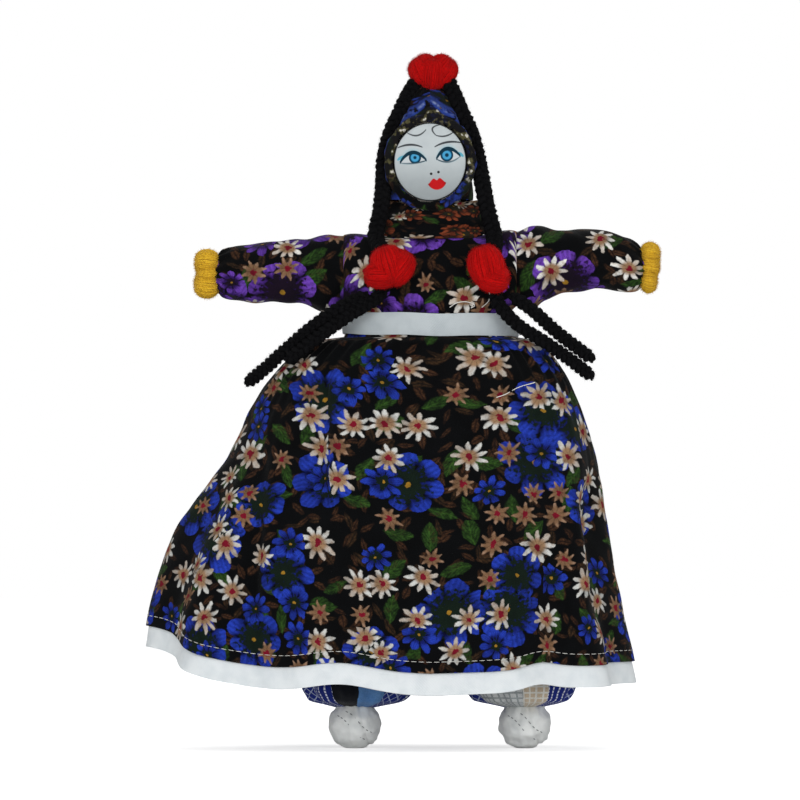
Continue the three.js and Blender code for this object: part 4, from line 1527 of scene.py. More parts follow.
    @staticmethod
    def label(piece: Piece, slot: str, *nodes: str) -> Piece:
        """Hides the nodes that a piece stands for and logs how many faces it has.

        Args:
            piece: The finished piece.
            slot: The record's material slot; not used.
            *nodes: The nodes that it stands for.

        Returns:
            The piece.
        """
        if nodes:
            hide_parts(*nodes)
        LOG.info("%s: %d faces", piece.name, len(piece.data.polygons))
        return piece

    @staticmethod
    def sheet(piece: Piece, flat: Pair, held: str, rests_on: str, *sewn_on: list[Piece]) -> None:
        """Does nothing: the piece, its flat size, how it is held, what it rests on and what is sewn on it are
        not used.
        """


@dataclass
class Assembly:
    """A sub-assembly of the doll, made at a bench."""

    bench: Bench

    @property
    def look(self) -> Finishes:
        """The finishes at hand."""
        return self.bench.look


@dataclass(frozen=True)
class Crease:
    """An upright fold line pressed into the front of the skirt, from (x, drop) to (x, drop)."""

    top: Pair
    bottom: Pair
    width: float
    depth: float

    def press(self, x: np.ndarray, drop: np.ndarray) -> np.ndarray:
        """How far the cloth goes in.

        Args:
            x: Places across the front.
            drop: Distances below the top edge.

        Returns:
            The depth at each.
        """
        share = (drop - self.top[1]) / (self.bottom[1] - self.top[1])
        run = (x - self.top[0] - share * (self.bottom[0] - self.top[0])) / self.width
        held = ease(share, -0.15, 0.15) * ease(share, 1.15, 0.85)
        return self.depth * held * (hump(run, 0, 1) - 0.4 * hump(run, 1.6, 1))


@dataclass(frozen=True)
class Rise:
    """A place at the front where a leg holds the hem up."""

    x: float
    width: float
    height: float

    def lift(self, x: np.ndarray) -> np.ndarray:
        """How far the hem goes up, at places across."""
        return self.height * hump(x, self.x, self.width)


@dataclass
class Skirt(Assembly):
    """The gathered print skirt, its white hem tape and stitches, and the white waist tape.

    ``waist``, ``hip``, ``middle``, ``low`` and ``hem`` say how far the skirt reaches to the left, the
    right, the front and the back.
    """

    length: float = 128.2
    shown_tape: float = 7.8
    tucked_tape: float = 6.2
    band_height: float = 8.0
    band_grow: float = 1.2
    band_flat: float = 0.01
    band_share: float = 0.83
    stitches_up: float = 4.0
    behind: float = 1.25
    lift: float = 3.5
    lift_left: float = 13.0
    folds: int = 10
    fold_depth: float = 7.0
    front_share: float = 0.3
    gathers: int = 46
    gather_depth: float = 1.5
    cut_point: float = 60.0
    sides: int = 300
    rows: int = 92
    waist: Sequence[float] = (30.3, 30.3, 19.8, 19.8)
    hip: Sequence[float] = (59, 51, 30, 30)
    middle: Sequence[float] = (71.8, 59.5, 37, 38)
    low: Sequence[float] = (94.5, 67, 45, 47)
    hem: Sequence[float] = (103.5, 75, 51, 51)
    hip_drop: float = 26.0
    middle_drop: float = 54.0
    low_drop: float = 98.0
    creases: tuple[Crease, ...] = (
        Crease((-39.5, 22), (-41, 68), 4.0, 3.0),
        Crease((-62, 52), (-68, 111), 4.5, 3.4),
        Crease((58, 64), (62, 112), 4.0, 2.6),
        Crease((14, 28), (20, 96), 5.0, 1.2),
    )
    rises: tuple[Rise, ...] = (Rise(-32, 15, 3.2), Rise(41, 9, 2.2))

    def __post_init__(self) -> None:
        """Works out the outline from the sizes."""
        self.hem_drop = self.length + self.shown_tape
        self.puff_drop = self.band_height + 0.3 * (self.hip_drop - self.band_height)
        flat = self.band_height + 0.3
        self.outlines = []
        for waist, hip, middle, low, hem in zip(self.waist, self.hip, self.middle, self.low, self.hem):
            out = hip - waist
            shoulder = ((0, waist), (flat, waist), (flat + 1.0, waist + 0.36 * out),
                        (self.puff_drop, waist + 0.6 * out), (self.hip_drop, hip))
            below = ((self.middle_drop, middle), (self.low_drop, low), (self.hem_drop, hem))
            self.outlines.append(Profile(*shoulder, *below))

    def surface(self, angle: np.ndarray, drop: np.ndarray, inset: float = 0.0) -> np.ndarray:
        """Places on the outside of the skirt.

        Args:
            angle: Way round from the right, anticlockwise from above.
            drop: Distance below the top edge.
            inset: How far inside the skirt's outside.

        Returns:
            The places.
        """
        c, s = np.cos(angle), np.sin(angle)
        left, right, front, back = (outline(drop) for outline in self.outlines)
        wide = np.where(c < 0, left, right)
        deep = np.where(s < 0, front, back)
        from_front = np.mod(angle, TAU) - 1.5 * math.pi
        share = 1 - (1 - self.front_share) * hump(from_front, 0, 0.9)
        grown = ease(drop, self.band_height, self.hem_drop)
        fold = self.fold_depth / 2 * share * grown * (1 - np.cos(self.folds * angle))
        below = np.clip(drop - self.band_height, 0, None)
        pleat = np.cos(self.gathers * angle + 3 * np.sin(3 * angle) + 2 * np.sin(7 * angle))
        fold = fold + self.gather_depth * ease(below, 0, 5) * np.exp(-below / 18) * (0.6 - 0.6 * pleat)
        raised = self.lift * np.abs(c) + self.lift_left * np.clip(-c, 0, None) ** 5
        x = wide * rounded(c, BODY_POWER)
        facing = ease(-s, 0, 0.35)
        z = BAND_TOP_Z - drop + raised * ease(drop, self.puff_drop, self.hem_drop)
        held = facing * ease(drop, self.middle_drop, self.hem_drop)
        z = z + held * sum(rise.lift(x) for rise in self.rises)
        places = oval(angle, wide - inset, deep - inset, z)
        fold = fold + ease(below, 2, 30) * (0.5 * ripple(places, 30, 11) + 0.22 * ripple(places, 10, 12))
        for crease in self.creases:
            fold = fold + facing * crease.press(x, drop)
        push(places, angle, -fold)
        return places

    def front(self, x: float, z: float) -> float:
        """Where the front of the skirt is, at a place across and up."""
        places = self.surface(np.linspace(math.pi, TAU, 400), np.full(400, BAND_TOP_Z - z))
        return float(np.interp(x, places[:, 0], places[:, 1]))

    def strip(self, drops: np.ndarray, inset: float) -> Sheet:
        """A ring of cloth, cut as a fan round a point above it, with its seam at the back.

        Args:
            drops: Distances of its rows below the top edge.
            inset: How far inside the skirt's outside.

        Returns:
            The cloth.
        """
        angle, drop = np.meshgrid(ring(self.sides, BACK), drops)
        places = self.surface(angle, drop, inset)
        around = np.concatenate([places, places[:, :1]], axis=1)
        across = distance(around, 1)
        share = across / across[:, -1:]
        out = self.cut_point + drops[0] + distance(around)
        turn = (share - share[:, [self.sides // 2]]) * across[-1, -1] / out[-1, :-1].mean()
        return Sheet(places, grid(out * np.sin(turn), -out * np.cos(turn)), True)

    def build(self) -> None:
        """Makes and places the skirt and its tapes."""
        skirt = self.strip(np.linspace(0, self.length, self.rows), 0.0)
        cloth = self.bench.cloth("skirt_cloth", self.look.skirt, skirt)
        hem = self.strip(np.linspace(self.length - self.tucked_tape, self.hem_drop, 10), self.behind)
        tape = self.bench.cloth("hem_tape", self.look.tape, hem, thickness=TAPE)
        turn = np.linspace(0, TAU, 721) + BACK
        line = self.surface(turn, np.full_like(turn, self.length - self.stitches_up), -0.12)
        stitches = self.bench.stitched("hem_stitches", [line], (2.7, 2.2, 0.22), self.look.thread, 21)
        self.bench.place(cloth, "torso", "skirt_print", "skirt")
        self.bench.place(tape, "torso", "white_tape", "hem_band")
        self.bench.place(stitches, "torso", "white_tape")
        flat = (path_length(skirt.places[-1]) * MM, self.length * MM)
        self.bench.sheet(cloth, flat, "gathered", "waistband", [tape, stitches])
        self.waistband()

    def waistband(self) -> None:
        """The white tape round the waist, which dips a little to the right."""
        rise = np.linspace(-0.5, 0.5, 12)
        angle, up = np.meshgrid(ring(220, BACK), rise)
        grow = self.band_grow + 0.35 * np.cos(up * math.pi)
        z = BAND_TOP_Z - self.band_height / 2 + up * self.band_height - 0.5 * np.cos(angle)
        out = oval(angle, self.waist[0] + grow, self.waist[2] + grow, z)
        out[..., :2] *= 1 + 0.006 * ripple(out, 14, 31)[..., None]
        out[..., 2] += 0.25 * ripple(out * (1, 1, 0), 22, 32)
        girth = path_length(out[5])
        sheet = Sheet.rolled(out, rise * self.band_height, girth)
        # Its finish is the white tape made darker: painted shade for the shade under the bodice.
        band = self.bench.cloth("waist_tape", self.look.waist_tape, sheet, thickness=TAPE)
        self.bench.place(band, "torso", "white_tape", "waistband")


@dataclass
class Garment(Assembly):
    """The flowered top: a bodice with two set-in sleeves and the yarn hands."""

    waist: Pair = (58.0, 37.0)
    chest: Pair = (74.0, 38.0)
    shoulders: float = 64.0
    neck: Pair = (27.6, 24.6)
    seam_x: float = 31.0
    shoulder_x: float = 36.0
    sleeve_reach: float = 41.0
    arm_radius: float = 11.5
    arm_flat: float = 21 / 23
    cuff_radius: float = 6.0
    web: float = 3.6
    shoulder_rise: Pair = (2.4, 3.8)
    print_shift: Pair = (40.0, 0.0)
    back_print: float = 300.0
    bodice_flat: Pair = (0.15, 0.04)
    sleeve_flat: Pair = (0.071, 0.048)

    def __post_init__(self) -> None:
        """Works out the outlines from the sizes."""
        arm_z = UNDERARM_Z + self.arm_radius
        self.arm_z = (arm_z, arm_z + 2.3)
        line_z = arm_z + 0.8 * self.arm_radius
        top_z = NECK_Z - 0.3
        half = [self.waist[0] / 2, (self.waist[0] + self.chest[0]) / 4, self.chest[0] / 2]
        self.half_width = Profile((WAIST_SEAM_Z, half[0]), (BAND_TOP_Z, half[0]), (UNDERARM_Z, half[1]),
                                  (arm_z, half[2]), (line_z, self.shoulders / 2), (top_z, self.neck[0] / 2))
        self.half_depth = Profile((WAIST_SEAM_Z, self.waist[1] / 2), (BAND_TOP_Z, self.waist[1] / 2),
                                  (arm_z, self.chest[1] / 2), (top_z, self.neck[1] / 2))
        r, reach = self.arm_radius, self.sleeve_reach
        self.radius = Profile((0, r), (0.35 * reach, 0.98 * r), (0.7 * reach, 0.9 * r),
                              (0.84 * reach, 0.84 * r), (0.94 * reach, 0.73 * r),
                              (reach, 0.95 * self.cuff_radius))
        self.sag = (
            Profile((-6, 0), (4, -0.6), (0.35 * reach, -1.2), (reach, -1.7)),
            Profile((-6, 0), (8, 0.5), (0.6 * reach, 1.0), (0.85 * reach, -0.6), (reach, -2.0)),
        )

    def depth_at(self, x: Any, z: Any) -> np.ndarray:
        """How far the bodice stands from the middle at a place across and up."""
        share = np.clip(np.abs(x) / self.half_width(z), 0, 1)
        return self.half_depth(z) * (1 - share**BODY_POWER) ** (1 / BODY_POWER)

    def build(self) -> None:
        """Makes and places the bodice and both arms."""
        self.bodice()
        for side in Side:
            self.sleeve(side)
            self.hand(side)

    def bodice(self) -> None:
        """The body of the top, front and back, open at the waist, neck and armholes."""
        heights = np.concatenate([np.linspace(WAIST_SEAM_Z, 181, 30), np.linspace(181.4, NECK_Z - 0.3, 12)])
        edge = np.minimum(self.half_width(heights), self.seam_x)
        bend = np.sin(np.linspace(-1, 1, 61) * math.pi / 2)
        inner = ease(np.abs(bend), 1.0, 0.85)
        x = edge[:, None] * bend
        z = np.broadcast_to(heights[:, None], x.shape)
        rise = np.where(x < 0, *self.shoulder_rise) * ease(np.abs(x), 17, 30) * ease(z, 172, 181)
        gather = 0.4 * np.cos(x * 1.6 + 2 * np.sin(x * 0.3)) * ease(z, 163, 156)
        sheets = []
        for number, way in enumerate((-1, 1)):
            places = grid(x, way * self.depth_at(x, z), z + rise)
            rumple = 0.45 * ripple(places, 16, 41 + number) + 0.2 * ripple(places, 6, 43 + number) + gather
            places[..., 1] += way * rumple * inner
            across = distance(places, 1)
            flat = grid(across - across[:, 30:31] + self.back_print * number, distance(places) + WAIST_SEAM_Z)
            sheets.append(Sheet(places, flat))
        cloth = self.bench.cloth("bodice_cloth", self.look.bodice, *sheets, axes=(0, 1, 0))
        self.bench.place(cloth, "torso", "bodice_print", "bodice")
        self.bench.sheet(cloth, self.bodice_flat, "stretched", "torso_wad")

    def armhole(self, side: Side, turn: np.ndarray) -> np.ndarray:
        """Measures an armhole.

        Args:
            side: Which arm.
            turn: Ways from straight up towards the front.

        Returns:
            Distance from the arm's line to the armhole, each way.
        """
        z = np.linspace(150, 186, 721)
        open_z = z[self.half_width(z) > self.seam_x]
        y = self.depth_at(self.seam_x, open_z)
        loop = np.concatenate([grid(-y, open_z), grid(y, open_z)[::-1]]) - (0, side.of(self.arm_z))
        way = np.mod(np.arctan2(-loop[:, 0], loop[:, 1]), TAU)
        order = np.argsort(way)
        return np.interp(turn, way[order], np.hypot(*loop.T)[order], period=TAU)

    def sleeve(self, side: Side) -> None:
        """Makes and places one sleeve.

        Args:
            side: Which arm.
        """
        count = 72
        reach, way, word = self.sleeve_reach, side.value, side.word
        turn = np.linspace(-math.pi, math.pi, count, endpoint=False)
        up, down = (np.clip(sign * np.cos(turn), 0, None) ** 2 for sign in (1, -1))
        inner = self.seam_x - self.shoulder_x - 0.8
        run = np.concatenate([np.linspace(inner, 4, 12), np.linspace(5, 0.9 * reach, 34),
                              np.linspace(0.91, 1, 10) * reach])[:, None]
        flattened = self.arm_flat / np.sqrt((self.arm_flat * np.cos(turn)) ** 2 + np.sin(turn) ** 2)
        share = ease(run, inner + 0.5, 6)
        arm = self.radius(np.clip(run, 0, None)) * flattened
        out = (self.armhole(side, turn) - 0.35) * (1 - share) + arm * share
        out = out + side.of(self.shoulder_rise) * up * ease(run, 10, -1)
        out = out + self.web * down * (ease(run, inner, 0) * ease(run, 12, 1))
        places = self.about_arm(side, run, turn, out)
        rumple = 0.4 * ripple(places, 14, 51 + way) + 0.2 * ripple(places, 5, 53)
        pleat = 0.8 * (1 + np.cos(13 * turn + 2 * np.sin(3 * turn))) * ease(run, 0.8 * reach, reach)
        out = out + (rumple * ease(run, inner + 1, 3) - pleat)
        around = np.linspace(-math.pi, math.pi, count + 1) - math.pi / 2
        z = side.of(self.arm_z)
        flat = grid(way * (self.shoulder_x + side.of(self.print_shift) + run), z - around * 10.5)
        sheet = Sheet(self.about_arm(side, run, turn, out), flat, True)
        cloth = self.bench.cloth(f"sleeve_cloth_{word}", self.look.bodice, sheet, axes=(0, 1, 1),
                                 middle=(0, 0, z * MM))
        near, far = (self.bench.spot(way * x, 0, z) for x in (self.seam_x + 0.5, self.shoulder_x + 9))
        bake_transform(cloth)
        self.bench.label(cloth, "bodice_print", f"sleeve_{word}")
        self.bench.sheet(cloth, self.sleeve_flat, "stretched", f"arm_wad_{word}")

    def about_arm(self, side: Side, along: np.ndarray, turn: np.ndarray, out: np.ndarray) -> np.ndarray:
        """Places at distances along and away from an arm's line, and ways from straight up."""
        z = side.of(self.arm_z) + side.of(self.sag)(along)
        return grid(side.value * (self.shoulder_x + along), -out * np.sin(turn), z + out * np.cos(turn))

    def hand(self, side: Side) -> None:
        """Makes and places a hand of wound yellow wool, pinched into rounded lumps.

        Args:
            side: Which arm.
        """
        way, word = side.value, side.word
        cuff = way * (self.shoulder_x + self.sleeve_reach - 1.2)
        z = side.of(self.arm_z) + side.of(self.sag)(self.sleeve_reach)
        lumps = side.of((
            ((3.7, 8.4, 4.9), (0.0, 7.8, 4.0), (-3.8, 8.6, 4.9)),
            ((4.6, 6.6, 4.4), (0.6, 6.4, 4.2), (-4.0, 5.6, 4.9)),
        ))
        lobes = [Lobe((cuff, 0, z + up), (cuff + way * out, 0, z + up * 1.06), (tall, 6.6))
                 for up, out, tall in lumps]
        hand = self.bench.bunch(f"hand_yarn_{word}", lobes, self.look.yellow, 61 + way, 40)
        self.bench.place(hand, f"arm_{word}", "yellow_yarn", f"hand_{word}")


@dataclass
class Braids(Assembly):
    """The wool plaits from the crown to the chest, their loose tails and the red pompoms.

    Points of plaits and tails are given as away from the middle, forward, and above the neckline.
    """

    width: float = 6.6
    tail_width: float = 5.4
    pitch: float = 7.5
    ply_pitch: float = 3.2
    step: float = 0.55
    tie_z: float = 163.8
    pompom_x: Pair = (-14.4, 21.5)
    outer_tails: Sequence[Sequence[Point]] = (
        ((22, 24, -22.5), (31.5, 24.5, -26.8), (42, 22, -34), (52, 17, -42.5), (59.5, 11, -49.2),
         (66, 5, -54.3)),
        ((28.6, 24, -22.6), (36.5, 23, -28), (45.5, 19, -36), (58.6, 11, -45.8)),
    )
    inner_tails: Sequence[Sequence[Point]] = (
        ((15.9, 22, -20.2), (20, 23.4, -24.4), (29, 25.2, -29.9), (39.5, 24.2, -37.3), (51.5, 19.4, -46.4)),
        ((23, 22, -20.2), (24.6, 23, -26), (31.5, 23, -33.4), (41, 21, -39.4), (50, 15, -45.6),
         (58.4, 8.5, -52)),
    )

    def braid(self, side: Side) -> list[Point]:
        """The points of a plait, past the face to the neckline and over the chest to the tie.

        Args:
            side: Which plait.

        Returns:
            The points, from the crown down.
        """
        out = side.of(((2.4, 7.1, 10.6, 14.0, 16.2, 16.7, 17.6), (5.0, 8.3, 11.3, 14.7, 17.1, 18.9, 20.6)))
        forward = (0.5, 2.5, 4.5, 6, 8, 11, 13)
        above = (57, 50.2, 43, 35.5, 26.5, 17, 8)
        top = side.of((19.4, 23.0))
        tie = abs(side.of(self.pompom_x))
        return [*zip(out, forward, above), (top, 14.2, -1.5), ((top + tie) / 2 + 0.6, 21, -6.5),
                (tie + 1, 22, -12), (tie + 1.5, 22, self.tie_z - NECK_Z)]

    def path(self, side: Side, points: Sequence[Point]) -> np.ndarray:
        """A smooth path through the points of a plait."""
        return smooth_path([(side.value * out, -forward, NECK_Z + above) for out, forward, above in points],
                           self.step)

    def plait(self, name: str, path: np.ndarray, width: float) -> Piece:
        """Makes a plait of three strands of three plies, with loose fibres on it.

        Args:
            name: Name of the piece.
            path: Evenly spaced places along its middle.
            width: How wide the plait is, along x.

        Returns:
            The piece.
        """
        wide, deep = carried_frames(path, (1, 0, 0))
        run = np.arange(len(path)) * self.step
        taper = 0.55 + 0.45 * ease(np.minimum(run, run[-1] - run), 0, 3.0)
        sway, weave, ply = 0.25 * width, 0.13 * width, 0.155 * width
        paths = []
        for k in range(3):
            turn = TAU * (run / self.pitch + k / 3)
            strand = path + (sway * np.sin(turn))[:, None] * wide + (weave * np.sin(2 * turn))[:, None] * deep
            for m in range(3):
                twist = TAU * (run / self.ply_pitch + m / 3)
                off = np.cos(twist)[:, None] * wide + np.sin(twist)[:, None] * deep
                paths.append(path + (strand - path) * taper[:, None] + 0.1 * width * taper[:, None] * off)
        seed = 70 + len(path)
        piece = self.bench.yarn(name, paths, [ply * taper] * len(paths), self.look.black, seed)
        return self.bench.fuzzy(piece, self.look.black, PLAIT_FIBRES, 0.06, seed)

    def declare(self, piece: Piece, path: np.ndarray, width: float, far_end: str, lay: str) -> None:
        """Works out a plait's places in metres and does nothing more with them or with the other values."""
        places = self.bench.metres(path)

    def build(self) -> None:
        """Makes and places the plaits, tails and pompoms."""
        for side in Side:
            word = side.word
            path = self.path(side, self.braid(side))
            plait = self.plait(f"braid_{word}", path, self.width)
            low, high = (self.bench.spot(side.value * 20, -12, z) for z in (178, 197))
            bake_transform(plait)
            self.bench.label(plait, "black_yarn", f"braid_upper_{word}", f"braid_lower_{word}")
            self.declare(plait, path, self.width, "object", "hanging")
            for label, tails in (("outer", self.outer_tails), ("inner", self.inner_tails)):
                path = self.path(side, side.of(tails))
                tail = self.plait(f"tail_{label}_{word}", path, self.tail_width)
                self.bench.place(tail, "torso", "black_yarn", f"braid_tail_{label}_{word}")
                self.declare(tail, path, self.tail_width, "bare", "loose")
        self.pompoms()

    def pompoms(self) -> None:
        """The red wool pompoms on the crown and at the ends of the plaits."""
        y, z = -26.8, 172.0
        left, right = self.pompom_x
        bunches = {
            "crown_pompom": ("head", [
                Lobe((1.4, 0, 238.4), (-5.0, 0, 247.6), (5.9, 6.6)),
                Lobe((1.0, 0, 238.4), (7.2, 0, 247.6), (5.8, 6.6)),
                Lobe((1.0, -2.0, 236.4), (1.0, -4.6, 247.2), (5.0, 4.2)),
                Lobe((1.0, 2.0, 236.4), (1.0, 4.6, 247.6), (5.0, 4.2)),
            ]),
            "chest_pompom_left": ("torso", [
                Lobe((left + 2.0, y - 0.5, z - 5.6), (left - 2.6, y, z + 7.2), (6.6, 7.0)),
                Lobe((left - 0.6, y - 0.5, z - 5.2), (left + 6.4, y, z + 5.4), (5.6, 6.6)),
                Lobe((left + 3.0, y - 0.5, z - 1.8), (left - 8.8, y, z - 3.0), (5.0, 6.4)),
            ]),
            "chest_pompom_right": ("torso", [
                Lobe((right + 0.8, y - 0.5, z - 5.8), (right - 3.6, y, z + 7.4), (6.6, 7.2)),
                Lobe((right - 4.6, y - 0.5, z - 2.6), (right + 6.4, y, z - 4.4), (5.4, 6.6)),
            ]),
        }
        for number, (name, (body, lobes)) in enumerate(bunches.items()):
            piece = self.bench.bunch(f"{name}_yarn", lobes, self.look.red, 81 + number, 54)
            self.bench.place(piece, body, "red_yarn", name)


@dataclass
class Head(Assembly):
    """The painted face in its flowered head scarf, and the scarf end wrapped round the neck."""

    face_rim: float = 1.8
    face_dome: float = 1.9
    face_back: float = -12.1
    width: float = 29.2
    brim: float = 1.6
    wrap: Pair = (38.5, 29.0)
    wrap_shift: float = 0.2
    scarf_flat: Pair = (0.105, 0.048)
    wrap_height: float = 0.0125

    def __post_init__(self) -> None:
        """Works out the outline from the sizes."""
        length, rise = 2 * FACE_HALF[1], CAP_TIP_Z - FACE_Z - FACE_HALF[1]
        self.half_width = Profile((CHIN_Z, 0.52 * self.width), (FACE_Z, self.width / 2),
                                  (FACE_Z + 0.25 * length, 0.46 * self.width),
                                  (FACE_Z + 0.55 * length, 0.35 * self.width),
                                  (CAP_TIP_Z - 0.35 * rise, 0.25 * self.width), (CAP_TIP_Z, 4.0))
        self.edge_y = self.face_back - self.face_rim / 2

    def build(self) -> None:
        """Makes and places the head's pieces."""
        self.face_disc()
        self.scarf()
        self.neck_wrap()

    def face_disc(self) -> None:
        """The domed disc of the face, with a softly rounded edge."""
        rim = self.face_rim
        profile = [(r, rim + self.face_dome * (1 - r * r)) for r in np.linspace(0, 0.97, 22)]
        profile += [(0.99, rim - 0.1), (1.0, rim - 0.5), (1.0, 0.4), (0.985, 0.08), (0.95, 0)]
        profile += [(r, 0.0) for r in (0.6, 0.3, 0.0)]
        r, out = (np.array(v)[:, None] for v in zip(*profile))
        turn = ring(72)
        places = grid(r * np.cos(turn) * FACE_HALF[0], self.face_back - out,
                      FACE_Z + r * np.sin(turn) * FACE_HALF[1])
        disc = self.bench.solid("face_painted", self.look.face, Sheet.skin(places))
        disc.data.set_sharp_from_angle(angle=math.radians(70))
        self.bench.place(disc, "head", "face_cloth", "face_disc")

    def scarf(self) -> None:
        """The head scarf, gathered to a tip, with a rolled edge round the face."""
        wide, tall = FACE_HALF
        low = np.linspace(CHIN_Z - 0.4, FACE_Z + 15, 34)
        heights = np.concatenate([low, np.linspace(227, CAP_TIP_Z, 18)])
        opening = np.clip(1 - ((heights - FACE_Z) / (tall + 0.4)) ** 2, 0, None) ** 0.5
        half = self.half_width(heights)
        cut = np.clip(opening * (wide + 0.4) / half, 0, 1)
        first = -np.arccos(cut ** (HEAD_POWER / 2))[:, None]
        share = np.linspace(0, 1, 97)
        angle = first + share * (math.pi - 2 * first)
        z = np.broadcast_to(heights[:, None], angle.shape)
        gather = 1 + 0.07 * ease(z, 224, CAP_TIP_Z) * np.cos(11 * angle + 2 * np.sin(2 * angle))
        out = half[:, None] * gather
        places = oval(angle, out, out, z, HEAD_POWER)
        free = ease(np.minimum(share, 1 - share), 0, 0.06)
        rumple = 1 + (0.022 * ripple(places, 11, 91) + 0.012 * ripple(places, 5, 92)) * free
        places[..., :2] *= rumple[..., None]
        x = places[..., 0]
        away = (np.hypot(x / wide, (z - FACE_Z) / tall) - 1) * wide
        away = away - 2.2 * ease(np.abs(x), 6, 0) * ease(z, FACE_Z + 10, FACE_Z + 20)
        arch = 1.3 * hump(away, 4.9, 1.2) - 0.7 * hump(away, 7.4, 0.9)
        drawn = ease(away, 6.5, 0.5) * ease(-places[..., 1], 0, 5)
        places[..., 1] += np.minimum(self.edge_y + 0.6 - places[..., 1], 0) * drawn
        places[..., 1] -= arch * ease(-places[..., 1], 1, 6) * ease(z, FACE_Z - 9, FACE_Z - 3)
        steps = distance(places, 1)
        sheet = Sheet(places, grid(steps - steps[:, 48:49], z * 1.15))
        hood = self.bench.cloth("headscarf_hood", self.look.scarf, sheet)
        piece = self.bench.join(hood, self.rolled_edge())
        piece.name = "headscarf_cloth"
        self.bench.place(piece, "head", "skirt_print", "headscarf")
        self.bench.sheet(piece, self.scarf_flat, "draped", "head_wad")

    def rolled_edge(self) -> Piece:
        """Makes the rolled edge of the scarf round the face.

        Returns:
            The edge.
        """
        a, b = np.meshgrid(ring(120), ring(12), indexing="ij")
        roll = self.brim * (1 + 0.16 * np.cos(a * 9 + b * 2) + 0.1 * np.cos(a * 23 + 1.3))
        grow = 0.3 + self.brim + roll * np.cos(b)
        places = grid(np.cos(a) * (FACE_HALF[0] + grow), self.edge_y + roll * np.sin(b),
                      FACE_Z + np.sin(a) * (FACE_HALF[1] + grow))
        places = np.concatenate([places, places[:1]])
        sheet = Sheet.rolled(places, np.linspace(0, 96, len(places)), TAU * self.brim)
        return self.bench.solid("scarf_edge", self.look.scarf, sheet)

    def neck_wrap(self) -> None:
        """The end of the scarf, wound round the neck in slanting folds and tucked in."""
        rise = np.linspace(0, 1, 34)
        angle, up = np.meshgrid(ring(144, BACK), rise)
        front = ease(-np.sin(angle), 0.2, 0.8)
        top = CHIN_Z - 0.4 - 1.0 * front
        low = NECK_Z + 0.3 - 2.4 * front - 1.2 * np.abs(np.cos(angle)) ** 4
        bulge = 0.88 + 0.12 * np.sin(up * math.pi) + 0.15 * (1 - front) * ease(up, 0.6, 0.0)
        bulge = bulge + front * (0.17 * ease(up, 0.3, 0.0) - 0.19 * ease(up, 0.6, 0.9))
        fold = np.abs(np.sin(math.pi * (up * 3.2 + 0.25 * np.cos(angle - 0.6)))) ** 0.7 - 0.7
        out = bulge + 0.05 * fold
        places = oval(angle, self.wrap[0] / 2 * out, self.wrap[1] / 2 * out, low + up * (top - low))
        places[..., 0] += self.wrap_shift
        places[..., :2] *= 1 + 0.012 * ripple(places, 6, 95)[..., None]
        girth = path_length(places[16])
        wrap = self.bench.cloth("neck_scarf_cloth", self.look.neck, Sheet.rolled(places, rise * 26, girth))
        self.bench.spot(0, 0, NECK_Z)
        self.bench.spot(0, 0, CHIN_Z - 2)
        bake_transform(wrap)
        self.bench.label(wrap, "skirt_print", "neck_scarf")


